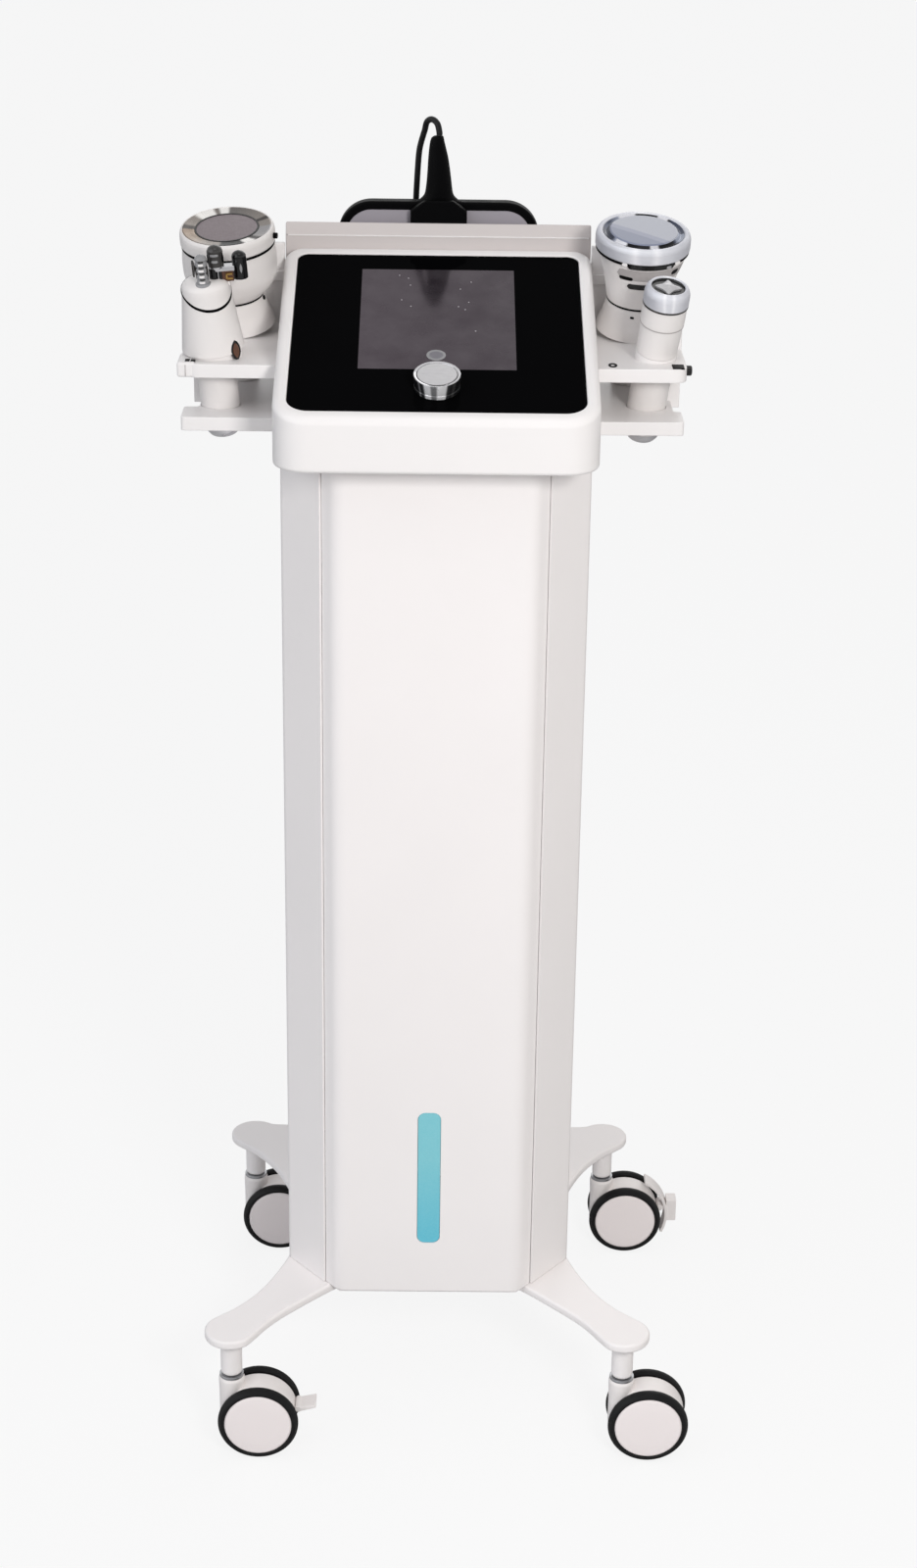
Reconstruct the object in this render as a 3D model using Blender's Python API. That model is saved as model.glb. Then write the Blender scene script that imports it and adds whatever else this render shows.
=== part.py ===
"""Slimming machine: a column on casters with a tilted console, four handpieces and a pad.

It is modelled about the column's vertical axis, with +X to the right as seen from the front and
the front facing -Y, and is then set down with the middle of its box over the origin.
"""

import math

import bmesh
import bpy
from mathutils import Matrix, Vector
from mathutils.geometry import interpolate_bezier

# Fits shared by all pieces
GAP = 0.0003
OVERRUN = 0.012
SHEET = 0.002
CIRCLE_SIDES = 24
SMALL_SIDES = 16
PIN_SIDES = 12
ARC_STEPS = 10
CORNER_STEPS = 4
SHARP_DEG = 35.0

# Base and legs
STEM_REACH = 0.1825
COLUMN_BOTTOM = 0.130
BASE_THICKNESS = 0.004
BASE_INSET = 0.003
LEG_THICKNESS = 0.009
LEG_TIP_RADIUS = 0.0247
LEG_ROOT_DEPTH = 0.045
LEG_OUTER_SHARES = ((0.0, 0.0), (0.10, 0.14), (0.35, 0.39), (0.62, 0.585), (0.95, 0.745))
FRONT_LEG_INNER_SHARES = ((0.62, 0.75), (0.34, 0.30), (0.0, -0.20))
REAR_LEG_INNER_SHARES = ((0.62, 1.26), (0.34, 1.10), (0.0, 0.92))
LEG_TONGUE_SHARES = ((0.45, 0.70), (0.74, 0.28))
LEG_TIP_START_DEG = -52.0
LEG_TIP_END_DEG = 136.0
STEM_RADIUS = 0.010
STEM_BOTTOM = 0.0818
PIN_RADIUS = 0.004
PIN_BOTTOM = 0.056

# Casters
WHEEL_RADIUS = 0.038
WHEEL_TRAIL = 0.025
WHEEL_WIDTH = 0.0105
WHEEL_OUTER_FACE = 0.0235
WHEEL_SHOULDER = 0.0015
WHEEL_CAP_RISE = 0.0006
WHEEL_CAP_RADIUS = 0.0315
AXLE_RADIUS = 0.004
AXLE_DEPTH = 0.007
HOOD_RADIUS = 0.0350
HOOD_HALF_WIDTH = 0.0118
HOOD_START_DEG = -16.6
HOOD_END_DEG = 196.6
SOCKET_RADIUS = 0.0117
SOCKET_BOTTOM = 0.030
RING_RADIUS = 0.0108
RING_HEIGHT = 0.0022

# Brake pedals
PEDAL_HALF_WIDTH = 0.0095
PEDAL_BARREL_RADIUS = 0.0030
PEDAL_THICKNESS = 0.0032
PEDAL_LIFT = 0.0080
PADDLE_LENGTH = 0.0135
PADDLE_RISE = 0.0035
PADDLE_ROOT_DEG = 40.0
GUARD_RADIUS = 0.0455
GUARD_THICKNESS = 0.0030
GUARD_START_DEG = -27.0
GUARD_END_DEG = 62.0
GUARD_BLOCK_LENGTH = 0.0105
GUARD_BLOCK_HEIGHT = 0.0240
GUARD_BLOCK_LIFT = 0.0053

# Column
COLUMN_HALF_WIDTH = 0.1325
COLUMN_REAR = 0.110
CHAMFER_INNER_X = 0.087
CHAMFER_INNER_Y = 0.1154
CHAMFER_OUTER_Y = 0.058
SEAM_SHARE = 0.23
PANEL_FRONT = 0.118
PANEL_FILLET = 0.016
SEAM_GAP = 0.0006
COLUMN_TOP = 0.9467
LIGHT_HALF_WIDTH = 0.0105
LIGHT_BOTTOM = 0.1834
LIGHT_TOP = 0.3224
LIGHT_CORNER = 0.007
LIGHT_FLANGE = 0.004
DOOR_HALF_WIDTH = 0.100
DOOR_BOTTOM = 0.185
DOOR_TOP = 0.895
DOOR_LAP = 0.010
VENT_COUNT = 7
VENT_HALF_WIDTH = 0.055
VENT_HEIGHT = 0.006
VENT_PITCH = 0.016
VENT_BOTTOM = 0.640

# Mains inlet and switch on the left side wall
INLET_DEPTH_Y = 0.045
INLET_HALF_WIDTH = 0.017
INLET_BOTTOM = 0.2180
INLET_TOP = 0.2760
INLET_PROUD = 0.0050
INLET_BODY_DEPTH = 0.026
INLET_RIM = 0.003
INLET_SOCKET_TOP = 0.2420
INLET_SOCKET_DEPTH = 0.017
SWITCH_RADIUS = 0.0072
SWITCH_HALF_WIDTH = 0.0120
SWITCH_HEIGHT = 0.2595
SWITCH_SLOT = 0.0006
SWITCH_FACE_TILT_DEG = 6.0

# Inside the column
SUPPLY_SIZE = (0.095, 0.130, 0.052)
SUPPLY_CENTRE = (-0.068, 0.030)
PUMP_RADIUS = 0.038
PUMP_HEIGHT = 0.105
PUMP_FOOT = (0.090, 0.090, 0.012)
PUMP_CENTRE = (0.055, 0.030)

# Console
CONSOLE_TILT_DEG = 18.0
CONSOLE_HALF_WIDTH = 0.136
CONSOLE_FRONT = 0.1670
CONSOLE_REAR = 0.0985
CONSOLE_BOTTOM = 0.947
CONSOLE_WALL = 0.003
CONSOLE_FRONT_CORNER = 0.030
CONSOLE_REAR_CORNER = 0.018
GLASS_FRONT = 0.155
GLASS_FRONT_HEIGHT = 0.9968
GLASS_HALF_WIDTH = 0.1239
GLASS_LENGTH = 0.2535
GLASS_THICKNESS = 0.003
GLASS_FRONT_CORNER = 0.018
GLASS_REAR_CORNER = 0.010
BEZEL_THICKNESS = 0.0065
BEZEL_PROUD = 0.0010
BEZEL_LEDGE = 0.005
SCREEN_HALF_WIDTH = 0.0690
SCREEN_START = 0.0640
SCREEN_END = 0.2300
SCREEN_THICKNESS = 0.006
BOARD_HALF_WIDTH = 0.060
BOARD_THICKNESS = 0.0016
BOARD_MARGIN = 0.010
KNOB_STATION = 0.0370
KNOB_RADIUS = 0.0190
KNOB_HEIGHT = 0.0130
KNOB_EDGE = 0.0012
KNOB_BORE_DEPTH = 0.0090
KNOB_SIDES = 32
SHAFT_RADIUS = 0.0030
SHAFT_RISE = 0.0080
ENCODER_HALF_WIDTH = 0.0070
ENCODER_HEIGHT = 0.0080

# Rear housing and its pocket
HOUSING_REAR = 0.150
HOUSING_TOP = 1.100
HOUSING_REAR_TOP = 1.0880
HOUSING_FOLD = 1.090
HOUSING_LIP = 0.0060
HOUSING_WALL = 0.003
POCKET_FRONT = 0.1065
POCKET_FLOOR = 0.985

# Side holders
HOLDER_WIDTH = 0.0765
HOLDER_REACH = CONSOLE_HALF_WIDTH + HOLDER_WIDTH
HOLDER_FRONT = 0.066
HOLDER_REAR = 0.096
HOLDER_CORNER = 0.012
LEFT_LOBE_PROUD = 0.0058
RIGHT_LOBE_INSET = 0.0010
LOBE_REAR = 0.030
LOBE_CORNER = 0.004
LOWER_EDGE_INSET = 0.0075
PLATE_THICKNESS = 0.012
UPPER_PLATE_TOP = 1.0125
LOWER_PLATE_TOP = 0.9665
POST_WIDTH = 0.020
POST_FRONT_Y = 0.006
POST_THICKNESS = 0.006
POST_RISE = 0.026
LATCH_WIDTH = 0.015
LATCH_LENGTH = 0.034
LATCH_RISE = 0.006
LATCH_PROUD = 0.005
LATCH_SLOT = 0.0035
BORE_CLEARANCE = 0.0006
WING_WIDTH = 0.052
WING_THICKNESS = 0.006
WING_TOP = 1.0840
BAND_BOTTOM = 1.0500
BAND_HEIGHT = 0.0095
BAND_PROUD = 0.0020

# Pad
PAD_HALF_WIDTH = 0.090
PAD_TOP = 1.116
PAD_FRONT = 0.1195
PAD_THICKNESS = 0.016
PAD_CORNER = 0.030
PAD_RIM = 0.0072
PAD_FACE_THICKNESS = 0.0015
BOSS_HALF_WIDTH = 0.025
BOSS_HALF_HEIGHT = 0.018
BOSS_HEIGHT = 1.101
BOSS_DEPTH = 0.0115
BOSS_CHAMFER_SHARE = 0.50
BOOT_SIDES = 20
BOOT_FOOT_RADIUS = 0.0150
BOOT_LENGTH = 0.0625
BOOT_SHARES = ((0.0, 1.0), (0.16, 0.80), (0.36, 0.70), (0.54, 0.63), (0.80, 0.48), (0.95, 0.36))
BOOT_TIP_RADIUS = 0.0040

# Pad's cord, its plug and socket
CORD_RADIUS = 0.00275
CORD_BEVEL_STEPS = 2
CORD_STEPS = 4
SOCKET_X = 0.048
SOCKET_Z = 0.450
SOCKET_FACE_RADIUS = 0.0120
SOCKET_BODY_RADIUS = 0.0095
SOCKET_FACE_DEPTH = 0.0030
SOCKET_BODY_DEPTH = 0.016
PLUG_RADIUS = 0.0090
PLUG_LENGTH = 0.024
PLUG_BOOT_RADIUS = 0.0052
PLUG_BOOT_LENGTH = 0.014
PLUG_TIP_RADIUS = 0.0040

# The cord's route, from the boot's tip over its arch and down behind the column to the plug
CORD_ROUTE = (
    (0.0000, 0.1225, 1.1748),
    (0.0000, 0.1225, 1.1762),
    (-0.0019, 0.1250, 1.1838),
    (-0.0065, 0.1311, 1.1868),
    (-0.0111, 0.1373, 1.1838),
    (-0.0131, 0.1400, 1.1762),
    (-0.0178, 0.1436, 1.1580),
    (-0.0198, 0.1470, 1.1300),
    (-0.0212, 0.1540, 1.0950),
    (-0.0220, 0.1600, 1.0500),
    (-0.0220, 0.1650, 0.9700),
    (-0.0200, 0.1720, 0.8000),
    (-0.0150, 0.1820, 0.5600),
    (-0.0080, 0.1920, 0.3600),
    (0.0050, 0.2000, 0.2350),
    (0.0280, 0.2030, 0.2080),
    (0.0480, 0.2010, 0.2600),
    (0.0540, 0.1980, 0.3500),
    (0.0500, 0.1860, 0.4270),
    (0.0480, 0.1630, 0.4500),
    (0.0480, 0.1543, 0.4500),
)

# Handpieces: where each head's middle stands, and how it leans forward and outward
REAR_LEFT_LEAN_DEG = (14.0, 3.0)
REAR_RIGHT_LEAN_DEG = (14.0, 2.0)
FRONT_LEFT_LEAN_DEG = (10.0, 5.0)
FRONT_RIGHT_LEAN_DEG = (18.0, 6.0)
REAR_LEFT_HEAD = (0.621, 0.0370, 1.1071)
REAR_RIGHT_HEAD = (0.549, 0.0370, 1.1072)
FRONT_LEFT_HEAD = (0.782, -0.0400, 1.0668)
FRONT_RIGHT_HEAD = (0.763, -0.0500, 1.0807)
SEAT_RISE = 0.002
SEAT_DROP = 0.006
SEAT_RADIUS = 0.0240
SMALL_SEAT_RADIUS = 0.0195
HANDLE_RADIUS = 0.0168
HANDLE_DROP = 0.0620
SMALL_HANDLE_DROP = 0.0660
BODY_FOOT_RADIUS = 0.0255
FOOT_BEVEL = 0.0015

# Round heads of the rear handpieces
HEAD_RADIUS = 0.0415
HEAD_EDGE = 0.0035
HEAD_DEPTH = 0.0158
DISC_RADIUS = 0.0271
DISC_THICKNESS = 0.0030
DISC_SINK = 0.0008
NECK_RADIUS = 0.0375
GROOVE = 0.0018
BOWL_RADIUS = 0.0400
BOWL_DEPTH = 0.0446
CUP_SHARES = ((0.0, 1.0), (0.25, 1.03), (0.55, 1.02), (0.76, 0.93), (0.90, 0.81), (1.0, 0.69))
CONE_SHARES = ((0.0, 0.99), (0.15, 0.93), (0.50, 0.80), (0.80, 0.73), (1.0, 0.69))
WAIST_RADIUS = 0.0258
GRIP_RADIUS = 0.0270
SPIGOT_RADIUS = 0.0250
SPIGOT_RISE = 0.0060

# Front left handpiece
BARREL_FOOT_RADIUS = 0.0232
BARREL_RADIUS = 0.0212
CAP_TILT_DEG = 22.0
CAP_RISE = 0.0010
CAP_TOP = 0.0145
CAP_SHOULDER = 0.0060
CAP_CROWN_SHARE = 0.62
PRONG_SINK = 0.0030
CLEAR_PRONG = ((-0.0005, -0.0100), 0.0045, 0.0252)
CHROME_PRONG = ((0.0098, -0.0010), 0.0062, 0.0289)
BLACK_PRONG = ((0.0305, 0.0065), 0.0056, 0.0215)
PRONG_TIP_SHARE = 0.6
EAR_RADIUS = 0.0085
EAR_THICKNESS = 0.0065
CONNECTOR_RADIUS = 0.0148
CONNECTOR_LENGTH = 0.0090
CONNECTOR_DOME = 0.0030
CONNECTOR_SHOULDER_SHARE = 0.6

# Front right handpiece
SMALL_CAP_RADIUS = 0.0196
SMALL_CAP_DEPTH = 0.0162
SMALL_CAP_EDGE = 0.0040
STAR_RADIUS = 0.0120
STAR_THICKNESS = 0.0030
STAR_POINTS = 4
STAR_WAIST_SHARE = 0.55
STAR_CROWN = 0.0012
COLLAR_RADIUS = 0.0186
COLLAR_DEPTH = 0.0330
TUBE_RADIUS = 0.0172
TUBE_FOOT_RADIUS = 0.0155
FLANGE_RADIUS = 0.0185
FLANGE_DEPTH = 0.0030

FINISHES = {
    "white": ((0.86, 0.84, 0.84), 0.32, 0.0),
    "grey": ((0.42, 0.39, 0.41), 0.5, 0.0),
    "black": ((0.012, 0.012, 0.013), 0.35, 0.0),
    "black gloss": ((0.006, 0.006, 0.007), 0.08, 0.0),
    "aqua": ((0.22, 0.66, 0.72), 0.3, 0.0),
    "satin": ((0.72, 0.72, 0.75), 0.28, 1.0),
    "chrome": ((0.85, 0.85, 0.87), 0.08, 1.0),
    "clear": ((0.75, 0.78, 0.78), 0.08, 0.0),
    "screen": ((0.16, 0.14, 0.16), 0.2, 0.0),
    "board": ((0.05, 0.22, 0.12), 0.5, 0.0),
    "steel": ((0.55, 0.56, 0.58), 0.4, 1.0),
    "tyre": ((0.014, 0.014, 0.015), 0.5, 0.0),
}

PRONG_FINISHES = {"clear": "clear", "chrome": "chrome", "black": "black gloss"}


def clear_scene():
    for obj in list(bpy.data.objects):
        bpy.data.objects.remove(obj)


def finish_material(name, finish):
    """A Principled material of this object's own."""
    colour, roughness, metallic = FINISHES[finish]
    made = bpy.data.materials.new(name)
    made.use_nodes = True
    shader = made.node_tree.nodes["Principled BSDF"]
    shader.inputs["Base Color"].default_value = (*colour, 1.0)
    shader.inputs["Roughness"].default_value = roughness
    shader.inputs["Metallic"].default_value = metallic
    made.diffuse_color = (*colour, 1.0)
    return made


def place(name, mesh, finish, parent, location=(0, 0, 0), rotation=(0, 0, 0)):
    """An object with its own material. mesh is a bmesh, which is used up, or a shared mesh."""
    if isinstance(mesh, bmesh.types.BMesh):
        data = bpy.data.meshes.new(name)
        mesh.to_mesh(data)
        mesh.free()
    else:
        data = mesh
    data.shade_smooth()
    data.set_sharp_from_angle(angle=math.radians(SHARP_DEG))
    obj = bpy.data.objects.new(name, data)
    bpy.context.collection.objects.link(obj)
    obj.parent = parent
    obj.location = location
    obj.rotation_euler = rotation
    if not data.materials:
        data.materials.append(None)
    obj.material_slots[0].link = "OBJECT"
    obj.material_slots[0].material = finish_material(name, finish)
    return obj


def empty(name, parent, location=(0, 0, 0), rotation=(0, 0, 0)):
    made = bpy.data.objects.new(name, None)
    bpy.context.collection.objects.link(made)
    made.parent = parent
    made.location = location
    made.rotation_euler = rotation
    return made


def carve(body, tool, operation="DIFFERENCE"):
    """Cuts body with tool, or joins them, at once. tool is a bmesh in body's own frame."""
    data = bpy.data.meshes.new("tool")
    tool.to_mesh(data)
    tool.free()
    helper = bpy.data.objects.new("tool", data)
    bpy.context.collection.objects.link(helper)
    helper.hide_render = True
    helper.display_type = "WIRE"
    bpy.context.view_layer.update()
    helper.matrix_world = body.matrix_world
    step = body.modifiers.new("step", "BOOLEAN")
    step.operation = operation
    step.solver = "EXACT"
    step.object = helper
    bpy.context.view_layer.update()
    graph = bpy.context.evaluated_depsgraph_get()
    done = bpy.data.meshes.new_from_object(body.evaluated_get(graph))
    body.modifiers.clear()
    finish = body.material_slots[0].material
    body.data = done
    while len(done.materials) > 1:
        done.materials.pop()
    for face in done.polygons:
        face.material_index = 0
    body.material_slots[0].link = "OBJECT"
    body.material_slots[0].material = finish
    bpy.data.objects.remove(helper)
    return body


def join(body, tool):
    return carve(body, tool, "UNION")


def prism(outline, bottom, top):
    """The outline, a list of (x, y), drawn up from bottom to top."""
    mesh = bmesh.new()
    low = [mesh.verts.new((x, y, bottom)) for x, y in outline]
    high = [mesh.verts.new((x, y, top)) for x, y in outline]
    mesh.faces.new(low)
    mesh.faces.new(high)
    for index in range(len(outline)):
        after = (index + 1) % len(outline)
        mesh.faces.new((low[index], low[after], high[after], high[index]))
    bmesh.ops.recalc_face_normals(mesh, faces=mesh.faces)
    return mesh


def lathe(profile, sides=CIRCLE_SIDES):
    """A turned solid about Z. profile runs from the axis out and back to it, as (radius, height)."""
    mesh = bmesh.new()
    rings = []
    for radius, height in profile:
        if radius == 0:
            rings.append([mesh.verts.new((0, 0, height))])
            continue
        turns = [math.tau * (step + 0.5) / sides for step in range(sides)]
        rings.append([mesh.verts.new((radius * math.cos(a), radius * math.sin(a), height)) for a in turns])
    for inner, outer in zip(rings, rings[1:]):
        for index in range(sides):
            after = (index + 1) % sides
            corners = [inner[index % len(inner)], outer[index % len(outer)]]
            corners += [outer[after % len(outer)], inner[after % len(inner)]]
            mesh.faces.new(list(dict.fromkeys(corners)))
    bmesh.ops.recalc_face_normals(mesh, faces=mesh.faces)
    return mesh


def cylinder(radius, bottom, top, sides=CIRCLE_SIDES):
    return lathe(((0, bottom), (radius, bottom), (radius, top), (0, top)), sides)


def box(low, high):
    outline = ((low[0], low[1]), (high[0], low[1]), (high[0], high[1]), (low[0], high[1]))
    return prism(outline, low[2], high[2])


def moved(mesh, matrix):
    bmesh.ops.transform(mesh, matrix=matrix, verts=mesh.verts)
    bmesh.ops.recalc_face_normals(mesh, faces=mesh.faces)
    return mesh


def shifted(mesh, offset):
    return moved(mesh, Matrix.Translation(offset))


def across(outline, near, far):
    """The outline, a list of (x, z), drawn along Y from near to far."""
    return moved(prism(outline, -far, -near), Matrix.Rotation(math.pi / 2, 4, "X"))


def along_y(mesh):
    """Turns a solid about Z so that its axis runs along +Y."""
    return moved(mesh, Matrix.Rotation(-math.pi / 2, 4, "X"))


def slice_off(mesh, point, normal):
    """Removes what lies beyond a plane, on its normal's side, and closes the cut."""
    everything = list(mesh.verts) + list(mesh.edges) + list(mesh.faces)
    cut = bmesh.ops.bisect_plane(
        mesh, geom=everything, plane_co=point, plane_no=normal, clear_outer=True
    )
    rim = [item for item in cut["geom_cut"] if isinstance(item, bmesh.types.BMEdge)]
    bmesh.ops.contextual_create(mesh, geom=rim)
    bmesh.ops.recalc_face_normals(mesh, faces=mesh.faces)
    return mesh


def arc(centre, radius, start_deg, end_deg, steps):
    """Points on a circle from one angle to another, both ends included."""
    points = []
    for step in range(steps + 1):
        angle = math.radians(start_deg + (end_deg - start_deg) * step / steps)
        points.append((centre[0] + radius * math.cos(angle), centre[1] + radius * math.sin(angle)))
    return points


def rounded_box(low, high, near_radius, far_radius, steps=CORNER_STEPS):
    """A rectangle with one corner radius at its low y side and another at its high y side."""
    corners = (
        ((high[0] - near_radius, low[1] + near_radius), near_radius, -90),
        ((high[0] - far_radius, high[1] - far_radius), far_radius, 0),
        ((low[0] + far_radius, high[1] - far_radius), far_radius, 90),
        ((low[0] + near_radius, low[1] + near_radius), near_radius, 180),
    )
    outline = []
    for centre, radius, start in corners:
        outline += arc(centre, radius, start, start + 90, steps)
    return outline


def fillet(before, corner, after, radius, steps=CORNER_STEPS):
    """Points that round a corner of a path with an arc tangent to both of its sides."""
    corner = Vector(corner)
    back = (Vector(before) - corner).normalized()
    ahead = (Vector(after) - corner).normalized()
    half = back.angle(ahead) / 2
    centre = corner + (back + ahead).normalized() * radius / math.sin(half)
    first = corner + back * radius / math.tan(half) - centre
    last = corner + ahead * radius / math.tan(half) - centre
    turns = [first.slerp(last, step / steps).normalized() for step in range(steps + 1)]
    return [tuple(centre + turn * radius) for turn in turns]


def sheet_outline(path, thickness):
    """A bent sheet seen from above: the path, and the same path set to its left by thickness."""
    points = [Vector(point) for point in path]
    inner = []
    for index, point in enumerate(points):
        normals = []
        for one, other in ((index - 1, index), (index, index + 1)):
            if one < 0 or other >= len(points):
                continue
            run = (points[other] - points[one]).normalized()
            normals.append(Vector((-run.y, run.x)))
        mitre = sum(normals, Vector((0, 0))).normalized()
        inner.append(point + mitre * thickness / mitre.dot(normals[0]))
    return [tuple(point) for point in points + inner[::-1]]


def mirrored(points, side, end):
    return [(x * side, y * end) for x, y in points]


def base_outline(inset):
    """The column's footprint, drawn in by inset."""
    side = COLUMN_HALF_WIDTH - inset
    rear = COLUMN_REAR - inset
    front = CHAMFER_INNER_Y - inset
    outline = [(side, -CHAMFER_OUTER_Y), (side, rear), (-side, rear), (-side, -CHAMFER_OUTER_Y)]
    outline += [(-CHAMFER_INNER_X + inset, -front), (CHAMFER_INNER_X - inset, -front)]
    return outline


def base_plate(machine):
    top = COLUMN_BOTTOM - GAP
    place("base_plate", prism(base_outline(BASE_INSET), top - BASE_THICKNESS, top), "white", machine)


def leg_outline(inner_shares):
    """One leg seen from above, in the quarter where x and y are positive."""
    stem = STEM_REACH
    outer_root = (COLUMN_HALF_WIDTH, LEG_ROOT_DEPTH)
    inner_root = (CHAMFER_INNER_X, CHAMFER_INNER_Y)
    outline = []
    for root, shares in ((outer_root, LEG_OUTER_SHARES), (inner_root, inner_shares)):
        if root is inner_root:
            outline += arc((stem, stem), LEG_TIP_RADIUS, LEG_TIP_START_DEG, LEG_TIP_END_DEG, ARC_STEPS)
        for share_x, share_y in shares:
            outline.append((root[0] + (stem - root[0]) * share_x, root[1] + (stem - root[1]) * share_y))
    for share_x, share_y in LEG_TONGUE_SHARES:
        outline.append((COLUMN_HALF_WIDTH * share_x, CHAMFER_INNER_Y * share_y))
    return outline


def leg(name, side, end, machine):
    """A flat leg whose root runs under the base plate, with its caster's stem and pin."""
    top = COLUMN_BOTTOM - GAP
    bottom = top - LEG_THICKNESS
    stem = (side * STEM_REACH, end * STEM_REACH)
    outline = leg_outline(FRONT_LEG_INNER_SHARES if end < 0 else REAR_LEG_INNER_SHARES)
    blade = place(name, prism(mirrored(outline, side, end), bottom, top), "white", machine)
    seat = top - BASE_THICKNESS - GAP
    carve(blade, prism(base_outline(BASE_INSET - GAP), seat, top + OVERRUN))
    inside = bottom + LEG_THICKNESS / 2
    post = lathe(((0, PIN_BOTTOM), (PIN_RADIUS, PIN_BOTTOM), (PIN_RADIUS, STEM_BOTTOM),
                  (STEM_RADIUS, STEM_BOTTOM), (STEM_RADIUS, inside), (0, inside)))
    join(blade, shifted(post, (*stem, 0)))


def axle_height():
    """The wheels are polygons that stand on a flat side, so their axles are this high."""
    return WHEEL_RADIUS * math.cos(math.pi / CIRCLE_SIDES)


def fork(name, axis):
    """The hood between the twin wheels, with the swivel socket, its ring and the axle."""
    hood = arc((WHEEL_TRAIL, axle_height()), HOOD_RADIUS, HOOD_START_DEG, HOOD_END_DEG, 2 * ARC_STEPS)
    body = place(name, across(hood, -HOOD_HALF_WIDTH, HOOD_HALF_WIDTH), "white", axis)
    ring_top = STEM_BOTTOM - GAP
    ring_bottom = ring_top - RING_HEIGHT
    join(body, lathe(((0, SOCKET_BOTTOM), (SOCKET_RADIUS, SOCKET_BOTTOM), (SOCKET_RADIUS, ring_bottom),
                      (RING_RADIUS, ring_bottom), (RING_RADIUS, ring_top), (0, ring_top))))
    reach = WHEEL_OUTER_FACE - WHEEL_WIDTH + AXLE_DEPTH - GAP
    axle = along_y(cylinder(AXLE_RADIUS, -reach, reach, PIN_SIDES))
    join(body, shifted(axle, (WHEEL_TRAIL, 0, axle_height())))
    carve(body, cylinder(PIN_RADIUS + GAP, PIN_BOTTOM - GAP, ring_top + OVERRUN))
    return body


def wheel_mesh():
    """A wheel about Z, its inner face at z zero, with a blind bore for the axle."""
    bore = AXLE_RADIUS + GAP
    profile = ((0, AXLE_DEPTH), (bore, AXLE_DEPTH), (bore, 0), (WHEEL_RADIUS, 0))
    profile += ((WHEEL_RADIUS, WHEEL_WIDTH - WHEEL_SHOULDER), (WHEEL_RADIUS - WHEEL_SHOULDER, WHEEL_WIDTH))
    profile += ((WHEEL_CAP_RADIUS, WHEEL_WIDTH), (0, WHEEL_WIDTH + WHEEL_CAP_RISE))
    return lathe(profile)


def wheel(name, face, axis):
    """face is 1 for the wheel whose cap looks along +Y and -1 for the other one."""
    turn = (-math.pi / 2 * face, 0, 0)
    inner = WHEEL_OUTER_FACE - WHEEL_WIDTH
    place(name, wheel_mesh(), "tyre", axis, (WHEEL_TRAIL, face * inner, axle_height()), turn)


def pedal_axis(axis, name):
    """An empty on the pedal's pin, at the trailing edge of the hood."""
    rise = math.asin(PEDAL_LIFT / HOOD_RADIUS)
    reach = HOOD_RADIUS + GAP + PEDAL_BARREL_RADIUS
    pin = (WHEEL_TRAIL + reach * math.cos(rise), 0, axle_height() + reach * math.sin(rise))
    return empty(name + "_pin", axis, pin), Vector(pin)


def paddle_pedal(name, axis):
    """A short paddle that stands out behind the wheels, on a barrel."""
    pin, _ = pedal_axis(axis, name)
    half = PEDAL_THICKNESS / 2
    end = PEDAL_BARREL_RADIUS + PADDLE_LENGTH
    outline = arc((0, 0), PEDAL_BARREL_RADIUS, PADDLE_ROOT_DEG, 360 - PADDLE_ROOT_DEG, ARC_STEPS)
    outline += [(end, PADDLE_RISE - half), (end, PADDLE_RISE + half)]
    place(name, across(outline, -PEDAL_HALF_WIDTH, PEDAL_HALF_WIDTH), "white", pin)


def guard_pedal(name, axis):
    """A curved guard round the tyres' trailing edge, with a block to step on, on the same pin."""
    pin, at = pedal_axis(axis, name)
    centre = (WHEEL_TRAIL - at.x, axle_height() - at.z)
    outline = arc(centre, GUARD_RADIUS, GUARD_START_DEG, GUARD_END_DEG, ARC_STEPS)
    outline += arc(centre, GUARD_RADIUS - GUARD_THICKNESS, GUARD_END_DEG, GUARD_START_DEG, ARC_STEPS)
    body = place(name, across(outline, -PEDAL_HALF_WIDTH, PEDAL_HALF_WIDTH), "white", pin)
    join(body, along_y(cylinder(PEDAL_BARREL_RADIUS, -PEDAL_HALF_WIDTH, PEDAL_HALF_WIDTH, PIN_SIDES)))
    inner = centre[0] + GUARD_RADIUS - GUARD_THICKNESS / 2
    width = PEDAL_HALF_WIDTH - GUARD_THICKNESS / 2
    half = PEDAL_THICKNESS / 2
    join(body, box((0, -width, -half), (inner, width, half)))
    middle = centre[1] + GUARD_BLOCK_LIFT
    low = (inner, -width, middle - GUARD_BLOCK_HEIGHT / 2)
    high = (inner + GUARD_BLOCK_LENGTH, width, middle + GUARD_BLOCK_HEIGHT / 2)
    join(body, box(low, high))


def casters_and_legs(machine):
    pedals = {"front_left": paddle_pedal, "rear_right": guard_pedal}
    for end, end_name in ((-1, "front"), (1, "rear")):
        for side, side_name in ((-1, "left"), (1, "right")):
            corner = f"{end_name}_{side_name}"
            leg(f"leg_{corner}", side, end, machine)
            stem = (side * STEM_REACH, end * STEM_REACH, 0)
            axis = empty(f"swivel_{corner}", machine, stem)
            fork(f"caster_fork_{corner}", axis)
            wheel(f"caster_wheel_{corner}_outer", end, axis)
            wheel(f"caster_wheel_{corner}_inner", -end, axis)
            if corner in pedals:
                pedals[corner](f"brake_pedal_{corner}", axis)


def seam_point(share):
    """A point on the front chamfer, share of the way from its front edge to its side edge."""
    x = CHAMFER_INNER_X + (COLUMN_HALF_WIDTH - CHAMFER_INNER_X) * share
    y = CHAMFER_INNER_Y + (CHAMFER_OUTER_Y - CHAMFER_INNER_Y) * share
    return x, -y


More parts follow.
